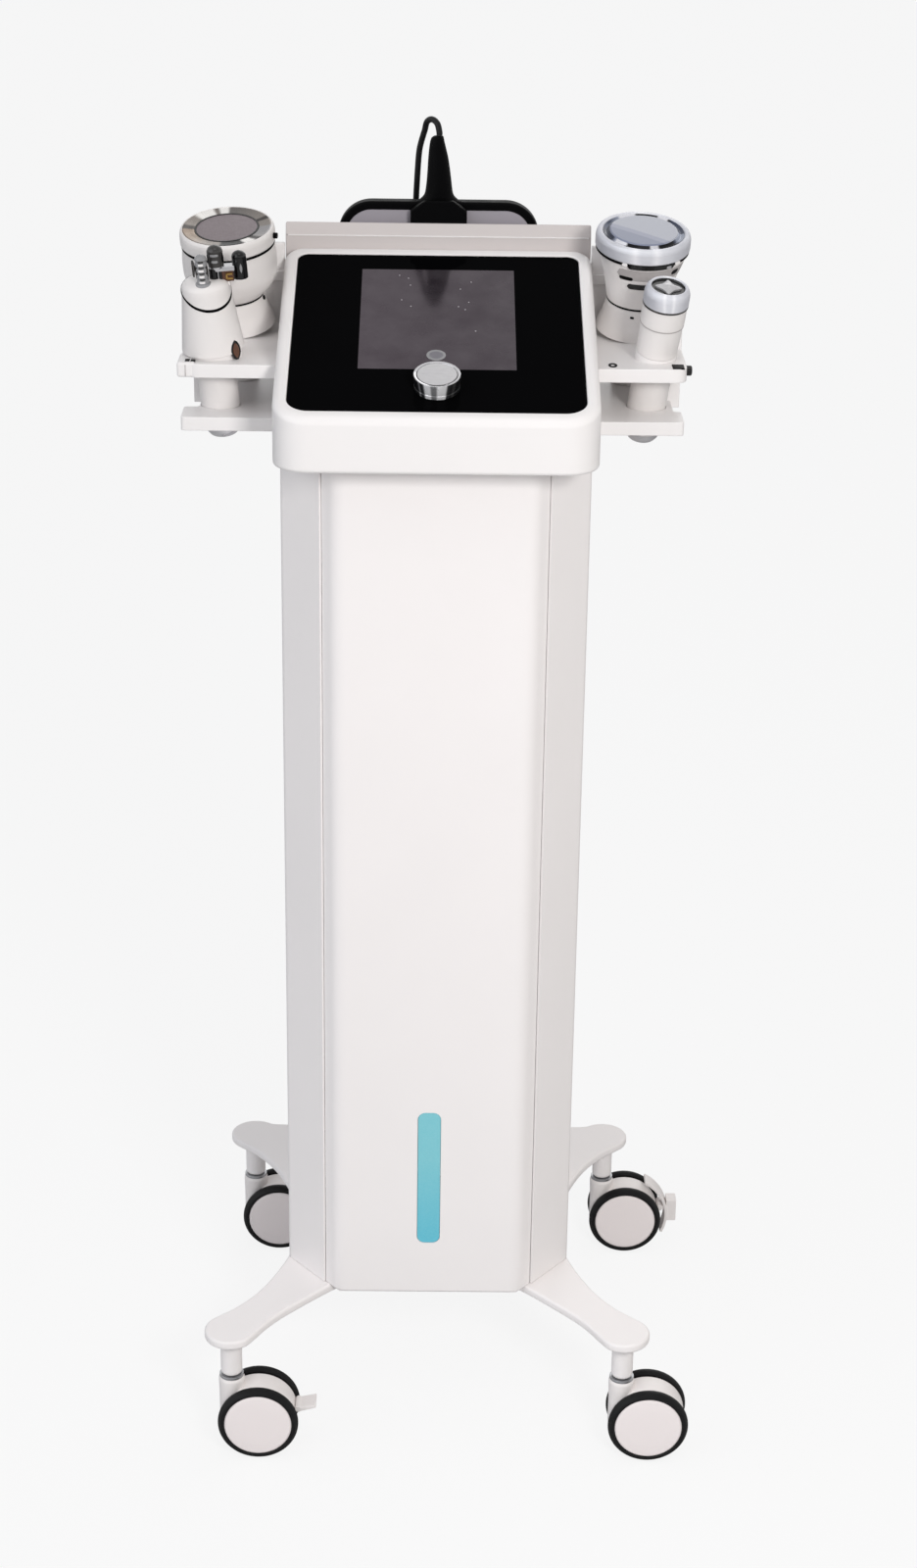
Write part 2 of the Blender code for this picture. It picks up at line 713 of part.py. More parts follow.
def column_shell(machine):
    """The chamfers, sides and back, folded from one sheet, with a door opening at the back."""
    x, y = seam_point(SEAM_SHARE)
    half = [(x, y), (COLUMN_HALF_WIDTH, -CHAMFER_OUTER_Y), (COLUMN_HALF_WIDTH, COLUMN_REAR)]
    path = half + [(-x, y) for x, y in half[::-1]]
    wall = prism(sheet_outline(path, SHEET), COLUMN_BOTTOM, COLUMN_TOP)
    shell = place("column_shell", wall, "white", machine)
    low = (-DOOR_HALF_WIDTH, COLUMN_REAR - OVERRUN, DOOR_BOTTOM)
    carve(shell, box(low, (DOOR_HALF_WIDTH, COLUMN_REAR + OVERRUN, DOOR_TOP)))
    width = INLET_HALF_WIDTH - INLET_RIM + GAP
    low = (-COLUMN_HALF_WIDTH - OVERRUN, INLET_DEPTH_Y - width, INLET_BOTTOM + INLET_RIM - GAP)
    high = (-COLUMN_HALF_WIDTH + OVERRUN, INLET_DEPTH_Y + width, INLET_TOP - INLET_RIM + GAP)
    carve(shell, box(low, high))


def front_panel(machine):
    """The front cover, whose edges bend back to the seams, with the slot of the light window."""
    chamfer = Vector(seam_point(1)) - Vector(seam_point(0))
    seam = Vector(seam_point(SEAM_SHARE)) - chamfer.normalized() * SEAM_GAP
    start = Vector(seam_point(0))
    corner = start + chamfer * ((-PANEL_FRONT - start.y) / chamfer.y)
    left, right = (-corner.x, corner.y), (corner.x, corner.y)
    path = [(-seam.x, seam.y)] + fillet((-seam.x, seam.y), left, right, PANEL_FILLET)
    path += fillet(left, right, tuple(seam), PANEL_FILLET) + [tuple(seam)]
    wall = prism(sheet_outline(path, SHEET), COLUMN_BOTTOM, COLUMN_TOP)
    panel = place("front_panel", wall, "white", machine)
    slot = light_outline(GAP)
    carve(panel, across(slot, -PANEL_FRONT - OVERRUN, -PANEL_FRONT + OVERRUN))


def light_outline(margin):
    low = (-LIGHT_HALF_WIDTH - margin, LIGHT_BOTTOM - margin)
    high = (LIGHT_HALF_WIDTH + margin, LIGHT_TOP + margin)
    return rounded_box(low, high, LIGHT_CORNER + margin, LIGHT_CORNER + margin)


def light_window(machine):
    """The lit window, flush with the front panel, with a flange behind it."""
    pane = across(light_outline(0), -PANEL_FRONT, -PANEL_FRONT + 2 * SHEET)
    window = place("light_window", pane, "aqua", machine)
    inner = -PANEL_FRONT + SHEET + GAP
    join(window, across(light_outline(LIGHT_FLANGE), inner, inner + SHEET))


def rear_panel(machine):
    """The service panel over the opening in the back, with vents and the pad socket's hole."""
    inner = COLUMN_REAR + GAP
    low = (-DOOR_HALF_WIDTH - DOOR_LAP, inner, DOOR_BOTTOM - DOOR_LAP)
    high = (DOOR_HALF_WIDTH + DOOR_LAP, inner + SHEET, DOOR_TOP + DOOR_LAP)
    panel = place("rear_panel", box(low, high), "white", machine)
    for row in range(VENT_COUNT):
        bottom = VENT_BOTTOM + row * VENT_PITCH
        low = (-VENT_HALF_WIDTH, inner - OVERRUN, bottom)
        carve(panel, box(low, (VENT_HALF_WIDTH, inner + OVERRUN, bottom + VENT_HEIGHT)))
    hole = along_y(cylinder(SOCKET_BODY_RADIUS + GAP, -OVERRUN, OVERRUN))
    carve(panel, shifted(hole, (SOCKET_X, inner, SOCKET_Z)))


def mains_inlet(machine):
    """The appliance inlet in the left side wall: flange outside, body inside, and its two mouths."""
    outer = -COLUMN_HALF_WIDTH - INLET_PROUD
    low = (outer, INLET_DEPTH_Y - INLET_HALF_WIDTH, INLET_BOTTOM)
    high = (-COLUMN_HALF_WIDTH - GAP, INLET_DEPTH_Y + INLET_HALF_WIDTH, INLET_TOP)
    inlet = place("mains_inlet", box(low, high), "black", machine)
    width = INLET_HALF_WIDTH - INLET_RIM
    low = (outer + INLET_PROUD / 2, INLET_DEPTH_Y - width, INLET_BOTTOM + INLET_RIM)
    high = (-COLUMN_HALF_WIDTH + INLET_BODY_DEPTH, INLET_DEPTH_Y + width, INLET_TOP - INLET_RIM)
    join(inlet, box(low, high))
    width -= INLET_RIM
    low = (outer - OVERRUN, INLET_DEPTH_Y - width, INLET_BOTTOM + 2 * INLET_RIM)
    high = (outer + INLET_SOCKET_DEPTH, INLET_DEPTH_Y + width, INLET_SOCKET_TOP)
    carve(inlet, box(low, high))
    slot = SWITCH_RADIUS + SWITCH_SLOT
    width = SWITCH_HALF_WIDTH + SWITCH_SLOT
    outline = arc((outer, SWITCH_HEIGHT), slot, -90, 90, ARC_STEPS)
    outline += [(outer - OVERRUN, SWITCH_HEIGHT + slot), (outer - OVERRUN, SWITCH_HEIGHT - slot)]
    well = across(outline, -width, width)
    carve(inlet, shifted(well, (0, INLET_DEPTH_Y, 0)))


def power_switch(machine):
    """A rocker: half a drum that turns about its own axis, its face tilted to one side."""
    pin = (-COLUMN_HALF_WIDTH - INLET_PROUD, INLET_DEPTH_Y, SWITCH_HEIGHT)
    drum = arc((0, 0), SWITCH_RADIUS, -90 - SWITCH_FACE_TILT_DEG, 90 - SWITCH_FACE_TILT_DEG, ARC_STEPS)
    place("power_switch", across(drum, -SWITCH_HALF_WIDTH, SWITCH_HALF_WIDTH), "black gloss", machine, pin)


def inner_works(machine):
    """The power supply and the vacuum pump, both standing on the base plate."""
    width, depth, height = SUPPLY_SIZE
    x, y = SUPPLY_CENTRE
    low = (x - width / 2, y - depth / 2, COLUMN_BOTTOM)
    high = (x + width / 2, y + depth / 2, COLUMN_BOTTOM + height)
    place("power_supply", box(low, high), "steel", machine)
    width, depth, height = PUMP_FOOT
    x, y = PUMP_CENTRE
    low = (x - width / 2, y - depth / 2, COLUMN_BOTTOM)
    high = (x + width / 2, y + depth / 2, COLUMN_BOTTOM + height)
    pump = place("vacuum_pump", box(low, high), "black", machine)
    inside = COLUMN_BOTTOM + height / 2
    join(pump, shifted(cylinder(PUMP_RADIUS, inside, COLUMN_BOTTOM + PUMP_HEIGHT), (x, y, 0)))


def console_frame(machine):
    """An empty at the front edge of the glass: its y runs up the glass, its z stands off it."""
    tilt = (math.radians(CONSOLE_TILT_DEG), 0, 0)
    return empty("console_plane", machine, (0, -GLASS_FRONT, GLASS_FRONT_HEIGHT), tilt)


def tilted(height):
    """A point and the normal of the plane that lies this far above the glass."""
    tilt = math.radians(CONSOLE_TILT_DEG)
    normal = Vector((0, -math.sin(tilt), math.cos(tilt)))
    return Vector((0, -GLASS_FRONT, GLASS_FRONT_HEIGHT)) + normal * height, normal


def console_outline(inset):
    low = (-CONSOLE_HALF_WIDTH + inset, -CONSOLE_FRONT + inset)
    high = (CONSOLE_HALF_WIDTH - inset, CONSOLE_REAR - inset)
    return rounded_box(low, high, CONSOLE_FRONT_CORNER - inset, CONSOLE_REAR_CORNER - inset)


def console_tray(machine):
    body = prism(console_outline(0), CONSOLE_BOTTOM, HOUSING_TOP)
    slice_off(body, *tilted(-BEZEL_THICKNESS - GAP))
    tray = place("console_tray", body, "white", machine)
    carve(tray, prism(console_outline(CONSOLE_WALL), CONSOLE_BOTTOM + CONSOLE_WALL, HOUSING_TOP + OVERRUN))


def glass_outline(margin):
    low = (-GLASS_HALF_WIDTH - margin, -margin)
    high = (GLASS_HALF_WIDTH + margin, GLASS_LENGTH + margin)
    return rounded_box(low, high, GLASS_FRONT_CORNER + margin, GLASS_REAR_CORNER + margin)


def console_bezel(machine, plane):
    """The frame round the glass, cut from the same upright walls as the tray, with a ledge inside."""
    body = prism(console_outline(0), CONSOLE_BOTTOM, HOUSING_TOP + OVERRUN)
    slice_off(body, *tilted(BEZEL_PROUD))
    point, normal = tilted(-BEZEL_THICKNESS)
    slice_off(body, point, -normal)
    bezel = place("console_bezel", body, "white", machine)
    opening = prism(glass_outline(GAP), -GLASS_THICKNESS - GAP, OVERRUN)
    carve(bezel, moved(opening, plane.matrix_local))
    through = prism(glass_outline(-BEZEL_LEDGE), -BEZEL_THICKNESS - OVERRUN, OVERRUN)
    carve(bezel, moved(through, plane.matrix_local))


def console_works(plane):
    """The glass and, against its underside, the screen with its board and the encoder."""
    glass = place("glass_panel", prism(glass_outline(0), -GLASS_THICKNESS, 0), "black gloss", plane)
    hole = cylinder(SHAFT_RADIUS + GAP, -OVERRUN, OVERRUN, PIN_SIDES)
    carve(glass, shifted(hole, (0, KNOB_STATION, 0)))
    top = -GLASS_THICKNESS - GAP
    low = (-SCREEN_HALF_WIDTH, SCREEN_START, top - SCREEN_THICKNESS)
    place("screen_module", box(low, (SCREEN_HALF_WIDTH, SCREEN_END, top)), "screen", plane)
    top -= SCREEN_THICKNESS + GAP
    low = (-BOARD_HALF_WIDTH, SCREEN_START + BOARD_MARGIN, top - BOARD_THICKNESS)
    place("control_board", box(low, (BOARD_HALF_WIDTH, SCREEN_END - BOARD_MARGIN, top)), "board", plane)
    top = -GLASS_THICKNESS - GAP
    low = (-ENCODER_HALF_WIDTH, -ENCODER_HALF_WIDTH, top - ENCODER_HEIGHT)
    body = box(low, (ENCODER_HALF_WIDTH, ENCODER_HALF_WIDTH, top))
    encoder = place("knob_encoder", body, "steel", plane, (0, KNOB_STATION, 0))
    join(encoder, cylinder(SHAFT_RADIUS, top - ENCODER_HEIGHT / 2, SHAFT_RISE, PIN_SIDES))


def control_knob(plane):
    bore = SHAFT_RADIUS + GAP
    profile = ((0, KNOB_BORE_DEPTH), (bore, KNOB_BORE_DEPTH), (bore, GAP), (KNOB_RADIUS, GAP))
    profile += ((KNOB_RADIUS, KNOB_HEIGHT - KNOB_EDGE), (KNOB_RADIUS - KNOB_EDGE, KNOB_HEIGHT))
    profile += ((0, KNOB_HEIGHT),)
    place("control_knob", lathe(profile, KNOB_SIDES), "satin", plane, (0, KNOB_STATION, 0))


def rear_housing(machine):
    """The box behind the console, with a folded lip along its top and an open pocket for the pad."""
    front = CONSOLE_REAR + GAP
    outline = [(front, CONSOLE_BOTTOM), (front, HOUSING_FOLD), (front + HOUSING_LIP, HOUSING_TOP)]
    outline += [(HOUSING_REAR, HOUSING_REAR_TOP), (HOUSING_REAR, CONSOLE_BOTTOM)]
    body = prism(outline, -CONSOLE_HALF_WIDTH, CONSOLE_HALF_WIDTH)
    turn = Matrix(((0, 0, 1, 0), (1, 0, 0, 0), (0, 1, 0, 0), (0, 0, 0, 1)))
    housing = place("rear_housing", moved(body, turn), "white", machine)
    low = (-CONSOLE_HALF_WIDTH + HOUSING_WALL, POCKET_FRONT, POCKET_FLOOR)
    high = (CONSOLE_HALF_WIDTH - HOUSING_WALL, HOUSING_REAR - HOUSING_WALL, HOUSING_TOP + OVERRUN)
    carve(housing, box(low, high))


def plate_outline(side):
    inner = side * (CONSOLE_HALF_WIDTH + GAP)
    outer = side * HOLDER_REACH
    low = (min(inner, outer), -HOLDER_FRONT)
    high = (max(inner, outer), HOLDER_REAR)
    corners = rounded_box(low, high, HOLDER_CORNER, HOLDER_CORNER)
    return [(inner if abs(x - inner) < HOLDER_CORNER else x, y) for x, y in corners]


def lower_plate_outline(side):
    """The lower plate, whose outer edge steps out to a lobe at the front."""
    inner = CONSOLE_HALF_WIDTH + GAP
    lobe = HOLDER_REACH + (LEFT_LOBE_PROUD if side < 0 else -RIGHT_LOBE_INSET)
    edge = HOLDER_REACH - LOWER_EDGE_INSET
    front_inner, front_outer = (inner, -HOLDER_FRONT), (lobe, -HOLDER_FRONT)
    lobe_rear, step = (lobe, -LOBE_REAR), (edge, -LOBE_REAR)
    rear_outer, rear_inner = (edge, HOLDER_REAR), (inner, HOLDER_REAR)
    outline = [front_inner] + fillet(front_inner, front_outer, lobe_rear, LOBE_CORNER)
    outline += fillet(front_outer, lobe_rear, step, LOBE_CORNER) + [step]
    outline += fillet(step, rear_outer, rear_inner, HOLDER_CORNER) + [rear_inner]
    return mirrored(outline, side, 1)


def lean_rotation(lean_deg, side):
    return math.radians(lean_deg[0]), math.radians(lean_deg[1]) * side, 0


def tool_axis(name, side, head, lean_deg, machine):
    """An empty at the head's middle, a share of the way across the holder, whose z runs up the handpiece."""
    across_holder = side * (CONSOLE_HALF_WIDTH + HOLDER_WIDTH * head[0])
    return empty(name + "_axis", machine, (across_holder, head[1], head[2]), lean_rotation(lean_deg, side))


def level(axis, height):
    """How far up the handpiece's axis, from the head's middle, this height of the machine lies."""
    rise = axis.matrix_local.col[2].z
    return (height - axis.location.z) / rise


def seat_level(axis, radius=SEAT_RADIUS):
    """The top of the tilted seat that the plate has for this handpiece."""
    rise = axis.matrix_local.col[2].z
    slope = math.sqrt(1 - rise**2)
    return level(axis, UPPER_PLATE_TOP + SEAT_RISE) + radius * slope / rise


def holder(side, side_name, tools, machine):
    """The two plates of one side. The upper one has tilted seats, and both have tilted bores."""
    top = UPPER_PLATE_TOP
    plate = prism(plate_outline(side), top - PLATE_THICKNESS, top)
    upper = place(f"holder_{side_name}_upper", plate, "white", machine)
    plate = prism(lower_plate_outline(side), LOWER_PLATE_TOP - PLATE_THICKNESS, LOWER_PLATE_TOP)
    lower = place(f"holder_{side_name}_lower", plate, "white", machine)
    reach = side * HOLDER_REACH
    inner = reach - side * POST_WIDTH
    ends = sorted((reach, inner))
    post = (POST_FRONT_Y, POST_FRONT_Y + POST_THICKNESS)
    inside = PLATE_THICKNESS / 2
    join(upper, box((ends[0], post[0], top - inside), (ends[1], post[1], top + POST_RISE)))
    low = (ends[0], post[0], LOWER_PLATE_TOP - inside)
    join(lower, box(low, (ends[1], post[1], top - PLATE_THICKNESS - GAP)))
    latch(upper, side)
    wing(upper, side)
    for axis, radius in tools:
        rim = seat_level(axis, radius)
        room = cylinder(radius + GAP, rim - GAP, rim + OVERRUN)
        carve(upper, moved(room, axis.matrix_local))
        seat = cylinder(radius, level(axis, top - SEAT_DROP), rim)
        join(upper, moved(seat, axis.matrix_local))
        bore_radius = HANDLE_RADIUS + BORE_CLEARANCE
        for plate in (upper, lower):
            bottom = level(axis, LOWER_PLATE_TOP - PLATE_THICKNESS) - OVERRUN
            bore = cylinder(bore_radius, bottom, rim + OVERRUN)
            carve(plate, moved(bore, axis.matrix_local))


def wing(upper, side):
    """The wall that stands on the upper plate's rear edge beside the housing, with a band across it."""
    inner = CONSOLE_HALF_WIDTH + GAP
    ends = sorted((side * inner, side * (inner + WING_WIDTH)))
    front = HOLDER_REAR - WING_THICKNESS
    bottom = UPPER_PLATE_TOP - PLATE_THICKNESS / 2
    join(upper, box((ends[0], front, bottom), (ends[1], HOLDER_REAR, WING_TOP)))
    middle = front + WING_THICKNESS / 2
    low = (ends[0], front - BAND_PROUD, BAND_BOTTOM)
    join(upper, box(low, (ends[1], middle, BAND_BOTTOM + BAND_HEIGHT)))


def latch(upper, side):
    """The small clip at the plate's outer front corner, with a slot through it."""
    ends = sorted((side * (HOLDER_REACH + LATCH_PROUD), side * (HOLDER_REACH + LATCH_PROUD - LATCH_WIDTH)))
    front = -HOLDER_FRONT + HOLDER_CORNER / 2
    top = UPPER_PLATE_TOP + LATCH_RISE
    bottom = UPPER_PLATE_TOP - PLATE_THICKNESS / 2
    join(upper, box((ends[0], front, bottom), (ends[1], front + LATCH_LENGTH, top)))
    middle = (side * HOLDER_REACH, front + LATCH_LENGTH / 2)
    low = (middle[0] - LATCH_SLOT / 2, middle[1] - LATCH_SLOT, bottom + LATCH_SLOT)
    high = (middle[0] + LATCH_SLOT / 2, middle[1] + LATCH_SLOT, top + OVERRUN)
    carve(upper, box(low, high))


def handle_profile(axis, foot_radius, seat_radius=SEAT_RADIUS, drop=HANDLE_DROP):
    """The lower part of every handpiece: the handle through both plates, and the foot on the seat."""
    seat = seat_level(axis, seat_radius) + GAP
    end = level(axis, UPPER_PLATE_TOP - drop)
    return [
        (0, end),
        (HANDLE_RADIUS - FOOT_BEVEL, end),
        (HANDLE_RADIUS, end + FOOT_BEVEL),
        (HANDLE_RADIUS, seat),
        (foot_radius, seat),
    ]


def round_head_body(name, axis, bowl_shares):
    """The white body under a round head: handle, foot, waist groove, bowl and the head's spigot."""
    bowl_top = -HEAD_DEPTH - GROOVE
    waist = bowl_top - BOWL_DEPTH
    profile = handle_profile(axis, BODY_FOOT_RADIUS)
    profile += [(GRIP_RADIUS, waist - GROOVE), (WAIST_RADIUS, waist - GROOVE), (WAIST_RADIUS, waist)]
    profile += [(BOWL_RADIUS * wide, bowl_top - BOWL_DEPTH * down) for down, wide in reversed(bowl_shares)]
    profile += [(NECK_RADIUS, bowl_top), (NECK_RADIUS, -HEAD_DEPTH - GAP)]
    profile += [(SPIGOT_RADIUS, -HEAD_DEPTH - GAP), (SPIGOT_RADIUS, -HEAD_DEPTH + SPIGOT_RISE)]
    profile += [(0, -HEAD_DEPTH + SPIGOT_RISE)]
    place(name + "_body", lathe(profile), "white", axis)


def round_head(name, axis, ring_finish, face_name, face_finish):
    """A round head: the ring, open in the middle, and the disc or lens set into it."""
    inner = DISC_RADIUS + GAP
    spigot = SPIGOT_RADIUS + GAP
    seat = -DISC_SINK - DISC_THICKNESS - GAP
    profile = ((inner, 0), (inner, seat), (spigot, seat), (spigot, -HEAD_DEPTH))
    profile += ((HEAD_RADIUS - GROOVE, -HEAD_DEPTH), (HEAD_RADIUS, -HEAD_DEPTH + GROOVE))
    profile += ((HEAD_RADIUS, -HEAD_EDGE), (HEAD_RADIUS - 2 * HEAD_EDGE, 0), (inner, 0))
    place(name + "_ring", ring_solid(profile), ring_finish, axis)
    low = -DISC_SINK - DISC_THICKNESS
    place(face_name, cylinder(DISC_RADIUS, low, -DISC_SINK), face_finish, axis)


def ring_solid(profile):
    """A turned ring: the profile is a closed loop that never meets the axis."""
    mesh = lathe(profile)
    bmesh.ops.remove_doubles(mesh, verts=mesh.verts, dist=GAP / 10)
    bmesh.ops.recalc_face_normals(mesh, faces=mesh.faces)
    return mesh


def barrel_profile(axis):
    """The front left handpiece's outer shape, body and cap together."""
    crown = BARREL_RADIUS * CAP_CROWN_SHARE
    profile = handle_profile(axis, BARREL_FOOT_RADIUS)
    profile += [(BARREL_RADIUS, CAP_SHOULDER), (crown, CAP_TOP), (0, CAP_TOP)]
    return profile


def barrel_tool(name, axis):
    """The front left handpiece: a barrel, a cap split off by a tilted plane, three prongs and a tail."""
    normal = Vector((0, -math.sin(math.radians(CAP_TILT_DEG)), math.cos(math.radians(CAP_TILT_DEG))))
    below = slice_off(lathe(barrel_profile(axis)), Vector((0, 0, CAP_RISE)), normal)
    above = slice_off(lathe(barrel_profile(axis)), Vector((0, 0, CAP_RISE)) + normal * GAP, -normal)
    place(name + "_body", below, "white", axis)
    cap = place(name + "_cap", above, "white", axis)
    spot = BLACK_PRONG[0]
    bottom = CAP_TOP - EAR_THICKNESS
    half = EAR_RADIUS / 2
    join(cap, box((0, -half, bottom), (spot[0], spot[1] + half, CAP_TOP - GAP)))
    join(cap, shifted(cylinder(EAR_RADIUS, bottom - GAP, CAP_TOP), (*spot, 0)))
    prongs = (("clear", CLEAR_PRONG), ("chrome", CHROME_PRONG), ("black", BLACK_PRONG))
    for kind, (spot, radius, length) in prongs:
        foot = CAP_TOP - PRONG_SINK
        socket = cylinder(radius + GAP, foot, CAP_TOP + OVERRUN, SMALL_SIDES)
        carve(cap, shifted(socket, (*spot, 0)))
        base = foot + GAP
        top = CAP_TOP + length
        tip = radius * PRONG_TIP_SHARE
        profile = ((0, base), (radius, base), (radius, top - tip), (tip, top), (0, top))
        prong = lathe(profile, SMALL_SIDES)
        place(f"{name}_{kind}_electrode", prong, PRONG_FINISHES[kind], axis, (*spot, 0))
    tail_connector(name, axis, "chrome")


def tail_connector(name, axis, finish, drop=HANDLE_DROP):
    """The connector that closes the lower end of a handle."""
    top = level(axis, UPPER_PLATE_TOP - drop) - GAP
    bottom = top - CONNECTOR_LENGTH
    shoulder = CONNECTOR_RADIUS * CONNECTOR_SHOULDER_SHARE
    profile = ((0, bottom - CONNECTOR_DOME), (shoulder, bottom - CONNECTOR_DOME / 2))
    profile += ((CONNECTOR_RADIUS, bottom), (CONNECTOR_RADIUS, top), (0, top))
    place(name + "_connector", lathe(profile), finish, axis)


def small_tool(name, axis):
    """The front right handpiece: tube, collar, satin cap with a star electrode, and its tail."""
    collar_top = -SMALL_CAP_DEPTH
    collar_bottom = -COLLAR_DEPTH
    seat = seat_level(axis, SMALL_SEAT_RADIUS) + GAP
    profile = handle_profile(axis, FLANGE_RADIUS, SMALL_SEAT_RADIUS, SMALL_HANDLE_DROP)
    profile += [(FLANGE_RADIUS, seat + FLANGE_DEPTH), (TUBE_FOOT_RADIUS, seat + 2 * FLANGE_DEPTH)]
    profile += [(TUBE_RADIUS, collar_bottom - FLANGE_DEPTH), (COLLAR_RADIUS, collar_bottom)]
    profile += [(COLLAR_RADIUS, collar_top), (0, collar_top)]
    place(name + "_body", lathe(profile), "white", axis)
    floor = -STAR_THICKNESS - GAP
    inner = STAR_RADIUS + GAP
    edge = SMALL_CAP_RADIUS - SMALL_CAP_EDGE
    cap = ((0, collar_top + GAP), (SMALL_CAP_RADIUS, collar_top + GAP), (SMALL_CAP_RADIUS, -SMALL_CAP_EDGE))
    cap += ((edge, 0), (inner, 0), (inner, floor), (0, floor))
    place(name + "_cap", lathe(cap), "satin", axis)
    place(name + "_electrode", star_electrode(), "satin", axis)
    tail_connector(name, axis, "satin", SMALL_HANDLE_DROP)


def star_electrode():
    """A four-pointed star that stands in the small cap."""
    outline = []
    for point in range(2 * STAR_POINTS):
        radius = STAR_RADIUS if point % 2 == 0 else STAR_RADIUS * STAR_WAIST_SHARE
        angle = math.pi * point / STAR_POINTS
        outline.append((radius * math.cos(angle), radius * math.sin(angle)))
    return prism(outline, -STAR_THICKNESS, STAR_CROWN)


def boss_outline(margin):
    """The eight-sided boss on the pad, as (x, z)."""
    wide = BOSS_HALF_WIDTH + margin
    tall = BOSS_HALF_HEIGHT + margin
    flat_x = wide * (1 - BOSS_CHAMFER_SHARE)
    flat_z = tall * (1 - BOSS_CHAMFER_SHARE)
    corners = [(flat_x, -tall), (wide, -flat_z), (wide, flat_z), (flat_x, tall)]
    corners += [(-x, z) for x, z in corners[::-1]]
    return [(x, BOSS_HEIGHT + z) for x, z in corners]


def pad(machine):
    """The pad that stands in the pocket: black body with boss and boot, and its grey face."""
    floor = POCKET_FLOOR + GAP
    outline = rounded_box((-PAD_HALF_WIDTH, floor), (PAD_HALF_WIDTH, PAD_TOP), PAD_CORNER, PAD_CORNER)
    body = place("pad_body", across(outline, PAD_FRONT, PAD_FRONT + PAD_THICKNESS), "black", machine)
    low = (-PAD_HALF_WIDTH + PAD_RIM, floor + PAD_RIM)
    high = (PAD_HALF_WIDTH - PAD_RIM, PAD_TOP - PAD_RIM)
    corner = PAD_CORNER - PAD_RIM
    depth = PAD_FRONT + PAD_FACE_THICKNESS
    carve(body, across(rounded_box(low, high, corner, corner), PAD_FRONT - OVERRUN, depth + GAP))
    inside = PAD_FRONT + PAD_THICKNESS / 2
    join(body, across(boss_outline(0), PAD_FRONT - BOSS_DEPTH, inside))
    boot_y = CORD_ROUTE[0][1]
    tip = CORD_ROUTE[0][2] - 2 * GAP
    profile = [(0, tip - BOOT_LENGTH)]
    profile += [(BOOT_FOOT_RADIUS * share, tip - BOOT_LENGTH * (1 - rise)) for rise, share in BOOT_SHARES]
    profile += [(BOOT_TIP_RADIUS, tip), (0, tip)]
    join(body, shifted(lathe(profile, BOOT_SIDES), (0, boot_y, 0)))
    low = (low[0] + GAP, low[1] + GAP)
    high = (high[0] - GAP, high[1] - GAP)
    sheet = across(rounded_box(low, high, corner, corner), PAD_FRONT, depth)
    face = place("pad_face", sheet, "grey", machine)
    carve(face, across(boss_outline(GAP), PAD_FRONT - OVERRUN, depth + OVERRUN))


def pad_lead(machine):
    """The pad's cord, its plug and the socket in the rear panel."""
    outer = COLUMN_REAR + GAP + SHEET + GAP
    profile = ((0, -SOCKET_BODY_DEPTH), (SOCKET_BODY_RADIUS, -SOCKET_BODY_DEPTH), (SOCKET_BODY_RADIUS, 0))
    profile += ((SOCKET_FACE_RADIUS, 0), (SOCKET_FACE_RADIUS, SOCKET_FACE_DEPTH), (0, SOCKET_FACE_DEPTH))
    place("pad_socket", along_y(lathe(profile, SMALL_SIDES)), "black", machine, (SOCKET_X, outer, SOCKET_Z))
    start = outer + SOCKET_FACE_DEPTH + GAP
    end = PLUG_LENGTH + PLUG_BOOT_LENGTH
    profile = ((0, 0), (PLUG_RADIUS, 0), (PLUG_RADIUS, PLUG_LENGTH), (PLUG_BOOT_RADIUS, PLUG_LENGTH))
    profile += ((PLUG_TIP_RADIUS, end), (0, end))
    place("pad_plug", along_y(lathe(profile, SMALL_SIDES)), "black", machine, (SOCKET_X, start, SOCKET_Z))
    curve = bpy.data.curves.new("pad_cord", "CURVE")
    curve.dimensions = "3D"
    curve.bevel_depth = CORD_RADIUS
    curve.bevel_resolution = CORD_BEVEL_STEPS
    curve.use_fill_caps = True
    points = smooth_route(CORD_ROUTE, CORD_STEPS)
    spline = curve.splines.new("POLY")
    spline.points.add(len(points) - 1)
    for place_point, point in zip(spline.points, points):
        place_point.co = (*point, 1)
    cord = bpy.data.objects.new("pad_cord", curve)
    bpy.context.collection.objects.link(cord)
    cord.parent = machine
    curve.materials.append(finish_material("pad_cord", "black"))


def smooth_route(route, steps):
    """Points along a smooth curve through the route's own points."""
    knots = [Vector(point) for point in route]
    slopes = []
    for index, knot in enumerate(knots):
        before = knots[max(index - 1, 0)]
        after = knots[min(index + 1, len(knots) - 1)]
        ahead, behind = (after - knot).length, (knot - before).length
        slopes.append((after - before).normalized() * (min(ahead or behind, behind or ahead) / 3))
    points = [knots[0]]
    for index in range(len(knots) - 1):
        count = 1 if index == 0 else steps
        first = knots[index] + slopes[index]
        second = knots[index + 1] - slopes[index + 1]
        points += interpolate_bezier(knots[index], first, second, knots[index + 1], count + 1)[1:]
    return points


